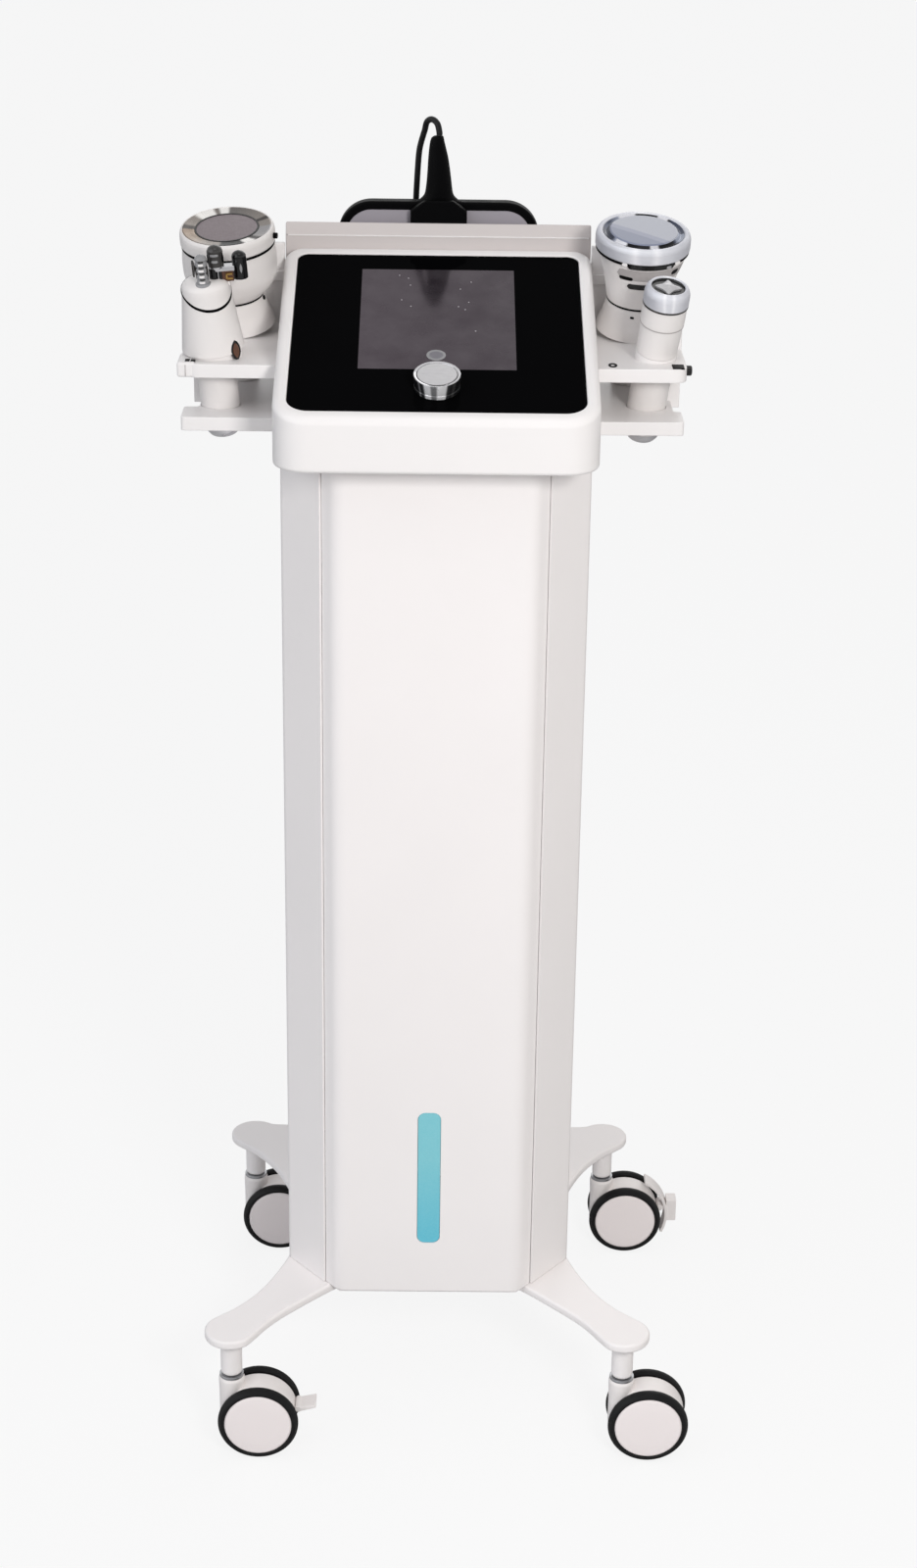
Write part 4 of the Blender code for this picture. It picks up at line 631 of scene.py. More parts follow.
def combined(mesh, tool, operation="DIFFERENCE"):
    """The first bmesh with the second cut from it or joined to it."""
    pair = []
    for part in (mesh, tool):
        bmesh.ops.recalc_face_normals(part, faces=part.faces)
        pair.append(shown("step", mesh_data("step", part)))
    step = pair[0].modifiers.new("step", "BOOLEAN")
    step.operation = operation
    step.solver = "EXACT"
    step.object = pair[1]
    result = bmesh.new()
    done = evaluated_mesh(pair[0])
    result.from_mesh(done)
    for data in (done, pair[0].data, pair[1].data):
        bpy.data.meshes.remove(data)
    return result


def evaluated_mesh(obj):
    """The object's mesh as its modifiers or its bevel make it."""
    bpy.context.view_layer.update()
    graph = bpy.context.evaluated_depsgraph_get()
    return bpy.data.meshes.new_from_object(obj.evaluated_get(graph))


def merged(*meshes):
    """Several closed bodies in one bmesh."""
    result = meshes[0]
    for mesh in meshes[1:]:
        data = mesh_data("step", mesh)
        result.from_mesh(data)
        bpy.data.meshes.remove(data)
    return result


def moved(mesh, matrix):
    bmesh.ops.transform(mesh, matrix=matrix, verts=mesh.verts)
    return mesh


def shifted(mesh, offset):
    return moved(mesh, Matrix.Translation(offset))


def arc(centre, radius, start_deg, end_deg, steps):
    points = []
    for step in range(steps + 1):
        angle = math.radians(start_deg + (end_deg - start_deg) * step / steps)
        points.append((centre[0] + radius * math.cos(angle), centre[1] + radius * math.sin(angle)))
    return points


def softened(points, radius, steps=4, closed=False):
    """The path with its corners rounded, each by no more than its own sides allow."""
    points = [Vector(point) for point in points]
    count = len(points)
    result = []
    for index, corner in enumerate(points):
        if not closed and index in (0, count - 1):
            result.append(tuple(corner))
            continue
        back = points[index - 1] - corner
        ahead = points[(index + 1) % count] - corner
        reach = min(radius, 0.45 * back.length, 0.45 * ahead.length)
        first = corner + back.normalized() * reach
        last = corner + ahead.normalized() * reach
        for step in range(steps + 1):
            t = step / steps
            result.append(tuple(first * (1 - t) ** 2 + corner * 2 * t * (1 - t) + last * t**2))
    return result


def smoothed(points, rounds=2):
    """A closed outline with its corners cut again and again, which leaves a flowing curve."""
    points = [Vector(point) for point in points]
    for _ in range(rounds):
        cut = []
        for index, point in enumerate(points):
            after = points[(index + 1) % len(points)]
            cut += [point * 0.75 + after * 0.25, point * 0.25 + after * 0.75]
        points = cut
    return [tuple(point) for point in points]


def rounded_box(low, high, near_radius, far_radius, steps=8):
    corners = (
        ((high[0] - near_radius, low[1] + near_radius), near_radius, -90),
        ((high[0] - far_radius, high[1] - far_radius), far_radius, 0),
        ((low[0] + far_radius, high[1] - far_radius), far_radius, 90),
        ((low[0] + near_radius, low[1] + near_radius), near_radius, 180),
    )
    outline = []
    for centre, radius, start in corners:
        outline += arc(centre, radius, start, start + 90, steps)
    return outline


def sheet_outline(path, thickness):
    """A bent sheet seen from above: the path, and the same path set to its left by thickness."""
    points = [Vector(point) for point in path]
    inner = []
    for index, point in enumerate(points):
        normals = []
        for one, other in ((index - 1, index), (index, index + 1)):
            if one < 0 or other >= len(points):
                continue
            run = (points[other] - points[one]).normalized()
            normals.append(Vector((-run.y, run.x)))
        mitre = sum(normals, Vector((0, 0))).normalized()
        inner.append(point + mitre * thickness / mitre.dot(normals[0]))
    return [tuple(point) for point in points + inner[::-1]]


def slab(outline, bottom, top, edge=0.0, steps=3, lower_edge=None):
    """The outline drawn up from bottom to top, its two rims rounded over."""
    mesh = bmesh.new()
    low = [mesh.verts.new((x, y, bottom)) for x, y in outline]
    high = [mesh.verts.new((x, y, top)) for x, y in outline]
    mesh.faces.new(low[::-1])
    mesh.faces.new(high)
    for index in range(len(outline)):
        after = (index + 1) % len(outline)
        mesh.faces.new((low[index], low[after], high[after], high[index]))
    bmesh.ops.recalc_face_normals(mesh, faces=mesh.faces)
    lower = edge if lower_edge is None else lower_edge
    for verts, width in ((high, edge), (low, lower)):
        members = set(verts)
        rim = [e for e in mesh.edges if e.verts[0] in members and e.verts[1] in members]
        if width > 0:
            bmesh.ops.bevel(mesh, geom=rim, offset=width, segments=steps, profile=0.5, affect="EDGES")
    return mesh


def across(outline, near, far, edge=0.0, steps=3):
    """The outline, a list of (x, z), drawn along Y from near to far."""
    return moved(slab(outline, -far, -near, edge, steps), Matrix.Rotation(math.pi / 2, 4, "X"))


def along_y(mesh):
    return moved(mesh, Matrix.Rotation(-math.pi / 2, 4, "X"))


def block(low, high, edge=0.0006, steps=2):
    """A box with all of its edges rounded."""
    outline = ((low[0], low[1]), (high[0], low[1]), (high[0], high[1]), (low[0], high[1]))
    mesh = slab(outline, low[2], high[2])
    bmesh.ops.bevel(mesh, geom=list(mesh.edges), offset=edge, segments=steps, profile=0.5, affect="EDGES")
    return mesh


def blocks(*boxes):
    """Several rounded boxes as one piece, each given by what block takes."""
    return merged(*(block(*box) for box in boxes))


def lathe(profile, sides=ROUND_SIDES, soft=0.0, steps=3):
    """A turned solid about Z from its profile of (radius, height), with its corners rounded by soft."""
    if soft:
        profile = softened(profile, soft, steps)
    mesh = bmesh.new()
    rings = []
    for radius, height in profile:
        if radius < 1e-7:
            rings.append([mesh.verts.new((0, 0, height))])
            continue
        turns = [math.tau * (step + 0.5) / sides for step in range(sides)]
        rings.append([mesh.verts.new((radius * math.cos(a), radius * math.sin(a), height)) for a in turns])
    for inner, outer in zip(rings, rings[1:]):
        for index in range(sides):
            after = (index + 1) % sides
            corners = [inner[index % len(inner)], outer[index % len(outer)]]
            corners += [outer[after % len(outer)], inner[after % len(inner)]]
            corners = list(dict.fromkeys(corners))
            if len(corners) > 2:
                mesh.faces.new(corners)
    bmesh.ops.recalc_face_normals(mesh, faces=mesh.faces)
    return mesh


def rod(radius, low, high, sides=ROUND_SIDES, soft=0.0):
    """A plain round rod about Z."""
    return lathe(((0, low), (radius, low), (radius, high), (0, high)), sides, soft)


def hoop(inner, outer, low, high, sides=ROUND_SIDES, soft=0.0):
    """A plain round band about Z."""
    return ring(((inner, low), (outer, low), (outer, high), (inner, high)), sides, soft)


def ring(profile, sides=ROUND_SIDES, soft=0.0, steps=3):
    """A turned ring, whose closed profile never meets the axis."""
    points = softened(profile, soft, steps, closed=True) if soft else list(profile)
    mesh = lathe(points + points[:1], sides)
    bmesh.ops.remove_doubles(mesh, verts=mesh.verts, dist=1e-6)
    return mesh


def loft(rings):
    """A closed skin over rings that all have the same number of points, with both ends filled."""
    mesh = bmesh.new()
    rows = [[mesh.verts.new(point) for point in points] for points in rings]
    for lower, upper in zip(rows, rows[1:]):
        for index in range(len(lower)):
            after = (index + 1) % len(lower)
            mesh.faces.new((lower[index], lower[after], upper[after], upper[index]))
    mesh.faces.new(rows[0][::-1])
    mesh.faces.new(rows[-1])
    return mesh


def patch_on(profile, start_deg, end_deg, low, high, proud=0.0002, steps=24):
    """A strip that follows a turned surface between two angles and two heights, a little proud of it."""
    def radius_at(height):
        for (r1, h1), (r2, h2) in zip(profile, profile[1:]):
            if min(h1, h2) <= height <= max(h1, h2) and h1 != h2:
                return r1 + (r2 - r1) * (height - h1) / (h2 - h1)
        return profile[-1][0]

    corner = (high - low) / 2
    span = math.radians(end_deg - start_deg)
    mid = radius_at((low + high) / 2)
    rows = []
    for step in range(steps + 1):
        along = step / steps
        edge = min(along, 1 - along) * span * mid
        inset = 0.0 if edge >= corner else corner - math.sqrt(max(corner**2 - (corner - edge) ** 2, 0.0))
        angle = math.radians(start_deg) + span * along
        row = []
        for height in (low + inset * 0.999, high - inset * 0.999):
            for out in (proud, -4 * proud):
                radius = radius_at(height) + out
                row.append((radius * math.cos(angle), radius * math.sin(angle), height))
        rows.append([row[0], row[2], row[3], row[1]])
    return loft(rows)


def corner_names():
    for end, end_name in ((-1, "front"), (1, "rear")):
        for side, side_name in ((-1, "left"), (1, "right")):
            yield end, side, f"{end_name}_{side_name}"


def leg_outline(end):
    """One leg seen from above, in the quarter where x and y are positive."""
    roots = (
        ((COLUMN_HALF_WIDTH, LEG_ROOT_DEPTH), LEG_OUTER_SHARES),
        (CHAMFER_INNER, LEG_INNER_SHARES[end]),
    )
    outline = []
    for order, (root, shares) in enumerate(roots):
        if order:
            outline += arc((STEM, STEM), LEG_TIP_RADIUS, -52.0, 136.0, 10)
        for share_x, share_y in shares:
            outline.append((root[0] + (STEM - root[0]) * share_x, root[1] + (STEM - root[1]) * share_y))
    for share_x, share_y in LEG_TONGUE_SHARES:
        outline.append((COLUMN_HALF_WIDTH * share_x, CHAMFER_INNER[1] * share_y))
    return smoothed(outline, 2)


def base_outline(inset):
    side = COLUMN_HALF_WIDTH - inset
    front = CHAMFER_INNER[1] - inset
    outline = [(side, -CHAMFER_OUTER_Y), (side, COLUMN_REAR - inset)]
    outline += [(-x, y) for x, y in outline[::-1]]
    return outline + [(-CHAMFER_INNER[0] + inset, -front), (CHAMFER_INNER[0] - inset, -front)]


def legs():
    for end, side, corner in corner_names():
        outline = [(x * side, y * end) for x, y in leg_outline(end)]
        blade = slab(outline, LEG_BOTTOM, LEG_TOP, LEG_EDGE, 4, lower_edge=0.003)
        seat = LEG_TOP - BASE_THICKNESS - GAP
        blade = combined(blade, slab(base_outline(BASE_INSET - GAP), seat, LEG_TOP + 0.01))
        post = lathe(((0, STEM_BOTTOM), (0.010, STEM_BOTTOM), (0.010, LEG_BOTTOM - 0.012),
                      (0.0112, LEG_BOTTOM - 0.005), (0.0150, LEG_BOTTOM + 0.0005),
                      (0.0150, LEG_BOTTOM + 0.003), (0, LEG_BOTTOM + 0.003)), 64, 0.004)
        shifted(post, (side * STEM, end * STEM, 0))
        place(f"leg_blade_{corner}", merged(blade, post), "white paint", "machine", [f"leg_{corner}"])


def caster(corner, side, end):
    """A twin-wheel caster: hood with its neck, collar ring, and two tyres with their discs."""
    at = Matrix.Translation((side * STEM, end * STEM, 0))
    swivel = f"swivel_{corner}"
    hood = softened(arc((TRAIL, AXLE_HEIGHT), HOOD_RADIUS, -16.6, 196.6, 40), 0.003, 3, closed=True)
    shell = across(hood, -HOOD_HALF_WIDTH, HOOD_HALF_WIDTH, 0.0022)
    neck = lathe(((0, 0.030), (0.0117, 0.030), (0.0117, 0.060), (0.0122, 0.0765), (0.0108, 0.0792),
                  (0, 0.0792)), 64, 0.0015)
    axle = along_y(rod(0.004, -0.0200, 0.0200, 32))
    shifted(axle, (TRAIL, 0, AXLE_HEIGHT))
    place(f"hood_{corner}", merged(shell, neck, axle), "caster white", swivel, [f"caster_fork_{corner}"], at)
    band = rod(0.0113, 0.0788, 0.0815, 64, 0.0005)
    place(f"neck_ring_{corner}", band, "steel", swivel, (), at)
    for place_name, face in (("outer", end), ("inner", -end)):
        wheel = f"{corner}_{place_name}"
        body = f"wheel_{wheel}"
        turn = Matrix.Translation((TRAIL, 0, AXLE_HEIGHT)) @ Matrix.Rotation(-math.pi / 2 * face, 4, "X")
        radius = AXLE_HEIGHT
        low, high = WHEEL_INNER, WHEEL_OUTER
        profile = ((0.029, low + 0.0012), (0.0335, low), (radius - 0.0022, low), (radius, low + 0.0026))
        profile += ((radius, high - 0.0042), (radius - 0.0028, high - 0.0004), (DISC_RADIUS + 0.0012, high))
        profile += ((DISC_RADIUS, high - 0.0008), (DISC_RADIUS, high - 0.003), (0.029, high - 0.003))
        tyre = ring(profile, ROUND_SIDES, 0.0016, 4)
        place(f"tyre_{wheel}", tyre, "tyre", body, [f"caster_wheel_{wheel}"], at @ turn)
        rim = DISC_RADIUS - 0.0001
        disc = lathe(((0, high + 0.0004), (0.020, high + 0.0003), (rim - 0.0016, high - 0.0002),
                      (rim, high - 0.0012), (rim, high - 0.0045), (0.0285, high - 0.0050),
                      (0.0285, low + 0.0015), (0.012, low + 0.0015), (0.012, low + 0.0004),
                      (0.0044, low + 0.0004), (0.0044, low + 0.006), (0, low + 0.006)), ROUND_SIDES, 0.0005)
        place(f"wheel_disc_{wheel}", disc, "wheel disc", body, (), at @ turn)


def pedals():
    """The paddle that stands out behind the front left wheels, and the guard of the rear right ones."""
    for corner in ("front_left", "rear_right"):
        node = f"brake_pedal_{corner}"
        source = bmesh.new()
        source.from_mesh(frame["nodes"][node].data)
        bmesh.ops.remove_doubles(source, verts=source.verts, dist=1e-6)
        bmesh.ops.dissolve_limit(source, angle_limit=math.radians(4), verts=source.verts, edges=source.edges)
        sharp = [e for e in source.edges if len(e.link_faces) == 2 and e.calc_face_angle(0) > 0.6]
        bmesh.ops.bevel(source, geom=sharp, offset=0.0007, segments=3, profile=0.5, affect="EDGES")
        shifted(source, -AXIS.translation)
        place(f"pedal_{corner}", source, "caster white", f"brake_{corner}", [node])


def seam_point(share):
    x = CHAMFER_INNER[0] + (COLUMN_HALF_WIDTH - CHAMFER_INNER[0]) * share
    y = CHAMFER_INNER[1] + (CHAMFER_OUTER_Y - CHAMFER_INNER[1]) * share
    return x, -y


def column():
    chamfer = Vector(seam_point(1)) - Vector(seam_point(0))
    start = Vector(seam_point(0))
    seam = Vector(seam_point(SEAM_SHARE)) - chamfer.normalized() * SEAM_GAP
    corner = start + chamfer * ((-PANEL_FRONT - start.y) / chamfer.y)
    path = [(-seam.x, seam.y), (-corner.x, corner.y), (corner.x, corner.y), tuple(seam)]
    path = softened(path, PANEL_FILLET * 0.62, 10)
    panel = slab(sheet_outline(path, SHEET), COLUMN_BOTTOM, COLUMN_TOP, 0.0005, 2)
    slot = across(light_outline(GAP), -PANEL_FRONT - 0.01, -PANEL_FRONT + 0.01)
    place("front_cover", combined(panel, slot), "white paint", "machine", ["front_panel"])
    x, y = seam_point(SEAM_SHARE)
    half = [(x, y), (COLUMN_HALF_WIDTH, -CHAMFER_OUTER_Y), (COLUMN_HALF_WIDTH, COLUMN_REAR)]
    half += [(DOOR_HALF_WIDTH, COLUMN_REAR)]
    parts = []
    for side in (-1, 1):
        run = [(px * side, py) for px, py in half][::-side]
        wall = slab(sheet_outline(softened(run, BEND, 4), SHEET), COLUMN_BOTTOM, COLUMN_TOP, 0.0005, 2)
        parts.append(wall)
    for bottom, top in ((COLUMN_BOTTOM, DOOR_BOTTOM), (DOOR_TOP, COLUMN_TOP)):
        parts.append(block((-DOOR_HALF_WIDTH - 0.001, COLUMN_REAR - SHEET, bottom),
                           (DOOR_HALF_WIDTH + 0.001, COLUMN_REAR - 0.00002, top), 0.0002))
    place("column_walls", merged(*parts), "white paint", "machine", ["column_shell"])
    pane = across(light_outline(0), -PANEL_FRONT + 0.0002, -PANEL_FRONT + 0.004, 0.0006)
    place("light_pane", pane, "aqua", "machine", ["light_window"])


def light_outline(margin):
    low = (-LIGHT_HALF_WIDTH - margin, LIGHT_BOTTOM - margin)
    high = (LIGHT_HALF_WIDTH + margin, LIGHT_TOP + margin)
    return rounded_box(low, high, LIGHT_CORNER + margin, LIGHT_CORNER + margin)


def plane_matrix():
    return Matrix.Translation((0, -GLASS_FRONT, GLASS_FRONT_HEIGHT)) @ Matrix.Rotation(TILT, 4, "X")


def console_outline(inset):
    low = (-CONSOLE_HALF_WIDTH + inset, -CONSOLE_FRONT + inset)
    high = (CONSOLE_HALF_WIDTH - inset, CONSOLE_REAR - inset)
    near, far = CONSOLE_CORNERS
    return rounded_box(low, high, near - inset, far - inset, CORNER_STEPS)


def glass_outline(margin):
    low = (-GLASS_HALF_WIDTH - margin, -margin)
    high = (GLASS_HALF_WIDTH + margin, GLASS_LENGTH + margin)
    near, far = GLASS_CORNERS
    return rounded_box(low, high, near + margin, far + margin, CORNER_STEPS)


def console():
    """The console's body: rounded below, upright sides, a rounded rim, and the recess of the glass."""
    def upper(inset, drop):
        rise = GLASS_FRONT_HEIGHT + 0.001
        return [(x, y, rise + (y + GLASS_FRONT) * math.tan(TILT) - drop) for x, y in console_outline(inset)]

    rings = [[(x, y, CONSOLE_BOTTOM) for x, y in console_outline(0.010)]]
    low_radius = 0.0035
    rim_radius = 0.0065
    for step in range(5):
        turn = math.radians(90 * step / 4)
        inset = low_radius * (1 - math.sin(turn))
        height = CONSOLE_BOTTOM + low_radius * (1 - math.cos(turn))
        rings.append([(x, y, height) for x, y in console_outline(inset)])
    for step in range(7):
        turn = math.radians(90 * step / 6)
        rings.append(upper(rim_radius * (1 - math.cos(turn)), rim_radius * (1 - math.sin(turn))))
    plane = plane_matrix()
    for margin, height in ((0.0014, 0.001), (0.0008, 0.0008), (0.0004, 0.0003), (GAP, -0.0005),
                           (GAP, -0.0033), (-0.005, -0.0033)):
        rings.append([tuple(plane @ Vector((x, y, height))) for x, y in glass_outline(margin)])
    place("console_body", loft(rings), "white plastic", "machine", ["console_tray", "console_bezel"])


def console_face():
    """The black glass, the switched-off screen behind it, the touch mark and the knob."""
    plane = plane_matrix()
    glass = slab(glass_outline(-0.0001), -0.003, 0, 0.0004, 2)
    place("glass_cover", glass, "black glass", "machine", ["glass_panel"], plane)
    low, high = (-SCREEN_HALF_WIDTH, SCREEN_START), (SCREEN_HALF_WIDTH, SCREEN_END)
    screen = slab(rounded_box(low, high, 0.0006, 0.0006, 3), -0.0006, 0.00004)
    place("screen_window", screen, "screen", at=plane)
    specks = [shifted(rod(0.0006, -0.0002, 0.0001, 12), (x, y, 0)) for x, y in SPECKS]
    place("screen_dust", merged(*specks), "dust", at=plane)
    mark = Matrix.Translation((-0.0010, 0.0878, 0))
    place("touch_mark", rod(0.0058, -0.0004, 0.00025, 64, 0.0001), "window mark", at=plane @ mark)
    rim = hoop(0.0058, 0.0082, -0.0004, 0.00045, 64, 0.0003)
    place("touch_mark_rim", rim, "clear", at=plane @ mark)
    at = plane @ Matrix.Translation((0, KNOB_STATION, 0))
    body = ring(((0.0034, GAP), (0.0190, GAP), (0.0194, 0.0008), (0.0194, 0.0036), (0.0189, 0.0041),
                 (0.0193, 0.0048), (0.0197, 0.0134), (0.0188, 0.0134), (0.0188, 0.0120), (0.0034, 0.0120)),
                ROUND_SIDES, 0.0003)
    place("knob_body", body, "knob side", "knob", ["control_knob"], at)
    rim = ring(((0.0160, 0.0121), (0.0188, 0.0121), (0.0197, 0.0135), (0.0193, 0.0140), (0.0176, 0.0136),
                (0.0171, 0.0130), (0.0160, 0.0130)), ROUND_SIDES, 0.0003)
    place("knob_rim", rim, "chrome", "knob", (), at)
    place("knob_line", hoop(0.0162, 0.0172, 0.0122, 0.01325), "black gloss", "knob", (), at)
    cap = lathe(((0, 0.0121), (0.0166, 0.0121), (0.0166, 0.0137), (0, 0.0138)), ROUND_SIDES, 0.0004)
    place("knob_face", cap, "satin", "knob", (), at)


def housing():
    """The box behind the console: a folded lip along its front, and the pad's open pocket."""
    front = CONSOLE_REAR + GAP
    outline = [(front, CONSOLE_BOTTOM), (front, HOUSING_FOLD), (front + HOUSING_LIP, HOUSING_TOP)]
    outline += [(HOUSING_REAR, HOUSING_REAR_TOP), (HOUSING_REAR, CONSOLE_BOTTOM)]
    body = slab(softened(outline, 0.0012, 3, closed=True), -CONSOLE_HALF_WIDTH, CONSOLE_HALF_WIDTH, 0.0015, 3)
    moved(body, Matrix(((0, 0, 1, 0), (1, 0, 0, 0), (0, 1, 0, 0), (0, 0, 0, 1))))
    low = (-CONSOLE_HALF_WIDTH + HOUSING_WALL, POCKET_FRONT, POCKET_FLOOR)
    high = (CONSOLE_HALF_WIDTH - HOUSING_WALL, HOUSING_REAR - HOUSING_WALL, HOUSING_TOP + 0.02)
    place("rear_box", combined(body, block(low, high, 0.001)), "housing paint", "machine", ["rear_housing"])
    # A dark wedge of painted shade at the left end of the lip's fold.
    wedge = softened(((-0.1350, 1.0891), (-0.1181, 1.0893), (-0.1350, 1.0900)), 0.0002, 2, closed=True)
    place("rear_box_corner_shade", across(wedge, front - 0.0003, front + 0.001), "shadow grey")
    # A pale strip along the fold: a painted highlight line.
    fold = block((-CONSOLE_HALF_WIDTH + 0.002, front - 0.0005, HOUSING_FOLD - 0.0011),
                 (CONSOLE_HALF_WIDTH - 0.002, front + 0.001, HOUSING_FOLD - 0.0001), 0.0003)
    place("rear_box_fold_highlight", fold, "white plastic")


def tool_matrix(tool):
    head, lean = HEADS[tool]
    side = math.copysign(1, head[0])
    turn = Euler((math.radians(lean[0]), math.radians(lean[1]) * side, 0))
    return Matrix.Translation(head) @ turn.to_matrix().to_4x4()


def level(at, height):
    """How far up a handpiece's axis, from its head's middle, this height of the machine lies."""
    return (height - at.translation.z) / at.col[2].z


def seat_level(tool, at):
    rise = at.col[2].z
    return level(at, UPPER_PLATE_TOP + SEAT_RISE) + SEAT_RADIUS[tool] * math.sqrt(1 - rise**2) / rise


def lower_outline(side):
    """The lower plate, whose outer edge steps out to a lobe at the front."""
    inner = CONSOLE_HALF_WIDTH + GAP
    lobe = LOBE_REACH[side]
    outline = [(inner, -HOLDER_FRONT), (lobe, -HOLDER_FRONT), (lobe, -LOBE_REAR),
               (LOWER_EDGE_REACH, -LOBE_REAR), (LOWER_EDGE_REACH, HOLDER_REAR), (inner, HOLDER_REAR)]
    return [(x * side, y) for x, y in softened(outline, 0.004, 5)]


def upper_outline(side):
    inner = CONSOLE_HALF_WIDTH + GAP
    outline = [(inner, -HOLDER_FRONT), (HOLDER_REACH, -HOLDER_FRONT)]
    outline += [(HOLDER_REACH, HOLDER_REAR), (inner, HOLDER_REAR)]
    rounded = [outline[0]] + softened(outline, HOLDER_CORNER, 8)[1:-1] + [outline[-1]]
    return [(x * side, y) for x, y in rounded]


def holder(side, side_name, tools):
    """The two plates of one side, with their seats, bores and posts, and the wall beside the housing."""
    upper = slab(upper_outline(side), UPPER_PLATE_TOP - PLATE_THICKNESS, UPPER_PLATE_TOP, 0.0009)
    lower = slab(lower_outline(side), LOWER_PLATE_TOP - PLATE_THICKNESS, LOWER_PLATE_TOP, 0.0009)
    ends = sorted((side * HOLDER_REACH, side * (HOLDER_REACH - POST_WIDTH)))
    rear = POST_FRONT + POST_THICKNESS
    low = (ends[0], POST_FRONT, UPPER_PLATE_TOP - PLATE_BITE)
    upper = combined(upper, block(low, (ends[1], rear, UPPER_PLATE_TOP + POST_RISE), 0.0012, 3), "UNION")
    low = (ends[0], POST_FRONT, LOWER_PLATE_TOP - PLATE_BITE)
    high = (ends[1], rear, UPPER_PLATE_TOP - PLATE_THICKNESS - GAP)
    lower = combined(lower, block(low, high, 0.0008), "UNION")
    for tool in tools:
        at = tool_matrix(tool)
        radius = SEAT_RADIUS[tool]
        seat = seat_level(tool, at)
        foot = level(at, UPPER_PLATE_TOP - PLATE_BITE)
        room = rod(radius + GAP, seat - GAP, seat + SEAT_ROOM, 64)
        upper = combined(upper, moved(room, at))
        upper = combined(upper, moved(rod(radius, foot, seat, 64, 0.0006), at), "UNION")
        bores = [moved(rod(BORE_RADIUS, BORE_LOW, seat + SEAT_ROOM, 64), at) for _ in range(2)]
        upper, lower = (combined(plate, bore) for plate, bore in zip((upper, lower), bores))
    ends = sorted((side * (CONSOLE_HALF_WIDTH + GAP), side * WING_REACH))
    low = (ends[0], HOLDER_REAR - WING_THICKNESS, UPPER_PLATE_TOP - PLATE_BITE)
    wall = block(low, (ends[1], HOLDER_REAR, WING_TOP), 0.0014, 3)
    low, high = ((x, HOLDER_REAR - depth, z) for x, depth, z in zip(ends, (0.008, 0.003), WING_BAND))
    band = block(low, high, 0.0009, 3)
    upper = merged(upper, wall, band)
    place(f"upper_plate_{side_name}", upper, "holder white", "machine", [f"holder_{side_name}_upper"])
    place(f"lower_plate_{side_name}", lower, "holder white", "machine", [f"holder_{side_name}_lower"])


def left_clip():
    """The pale clip at the left plate's outer corner, flush with it, and the two small catches in its top."""
    top = UPPER_PLATE_TOP
    # Name and finish, then each box's low corner, high corner, rounding and its steps
    for name, finish, *boxes in (
        ("clip_left", "holder white",
         ((-0.2205, -0.0645, top - PLATE_THICKNESS), (-0.2050, -0.0300, top + 0.0009), 0.0022, 4),
         ((-0.2200, -0.0010, top - 0.0080), (-0.2105, 0.0120, top + 0.0026), 0.0016, 3),
         ((-0.2190, -0.0310, top - 0.0090), (-0.2115, 0.0000, top + 0.0004), 0.0010, 3)),
        ("clip_left_hooks", "black",
         ((-0.2140, -0.0600, top - 0.0002), (-0.2100, -0.0525, top + 0.0014), 0.0004),
         ((-0.2092, -0.0600, top - 0.0002), (-0.2052, -0.0540, top + 0.0014), 0.0004)),
        ("clip_left_seam", "shadow grey",
         ((-0.2136, -0.0649, top - 0.0110), (-0.2130, -0.0640, top - 0.0010), 0.0001)),
    ):
        place(name, blocks(*boxes), finish)
    spot = Matrix.Translation((-0.2160, -0.0140, top))
    place("clip_left_dot", rod(0.0017, -0.0004, 0.0012, 32, 0.0003), "steel", at=spot)


def right_fittings():
    """On the right plate: a low black bar, a ring mark round a screw hole, and a plug in the outer side."""
    top = UPPER_PLATE_TOP
    bar = block((0.1998, -0.0645, top - 0.0004), (0.2100, -0.0500, top + 0.0008), 0.0005)
    place("plate_bar_right", bar, "black")
    mark = hoop(0.0018, 0.0038, -0.0004, 0.0005, SMALL_SIDES, 0.0002)
    at = Matrix.Translation((0.1494, -0.0538, top)) @ Matrix.Diagonal((1, 1.8, 1, 1))
    place("plate_ring_right", mark, "black", at=at)
    profile = ((0, -0.004), (0.0044, -0.004), (0.0044, 0.0036), (0.0030, 0.0044), (0, 0.0044))
    at = Matrix.Translation((HOLDER_REACH + 0.0005, -0.0500, top - 0.0046)) @ OUTWARD
    place("plate_plug_right", lathe(profile, SMALL_SIDES, 0.0008), "black gloss", at=at)


def holders():
    holder(-1, "left", ("suction", "cavitation"))
    holder(1, "right", ("facial", "light_therapy"))
    left_clip()
    right_fittings()


def handle_profile(tool, at, foot_radius):
    seat = seat_level(tool, at) + GAP
    end = level(at, HANDLE_END[tool])
    return [(0, end), (HANDLE_RADIUS, end), (HANDLE_RADIUS, seat), (foot_radius, seat)]


def flowing(points, steps=6):
    """A smooth profile through its points, each a pair of radius and height."""
    smooth = smooth_route([(radius, height, 0) for radius, height in points], steps)
    return [(point.x, point.y) for point in smooth]


def bowl_curve(tool):
    """The bowl's own outer curve, from the waist groove up to the groove under the head."""
    top = -HEAD_DEPTH - HEAD_GROOVE
    shares = BOWL_SHARES[tool][::-1]
    return flowing([(BOWL_RADIUS * wide, top - BOWL_DEPTH * down) for down, wide in shares])


def fit(tool, at, name, mesh, finish, *nodes):
    """A piece of a handpiece. Its name and those of the nodes that it replaces lack the handpiece's own."""
    place(f"{tool}_{name}", mesh, finish, f"{tool}_handpiece", [f"{tool}_{node}" for node in nodes], at)


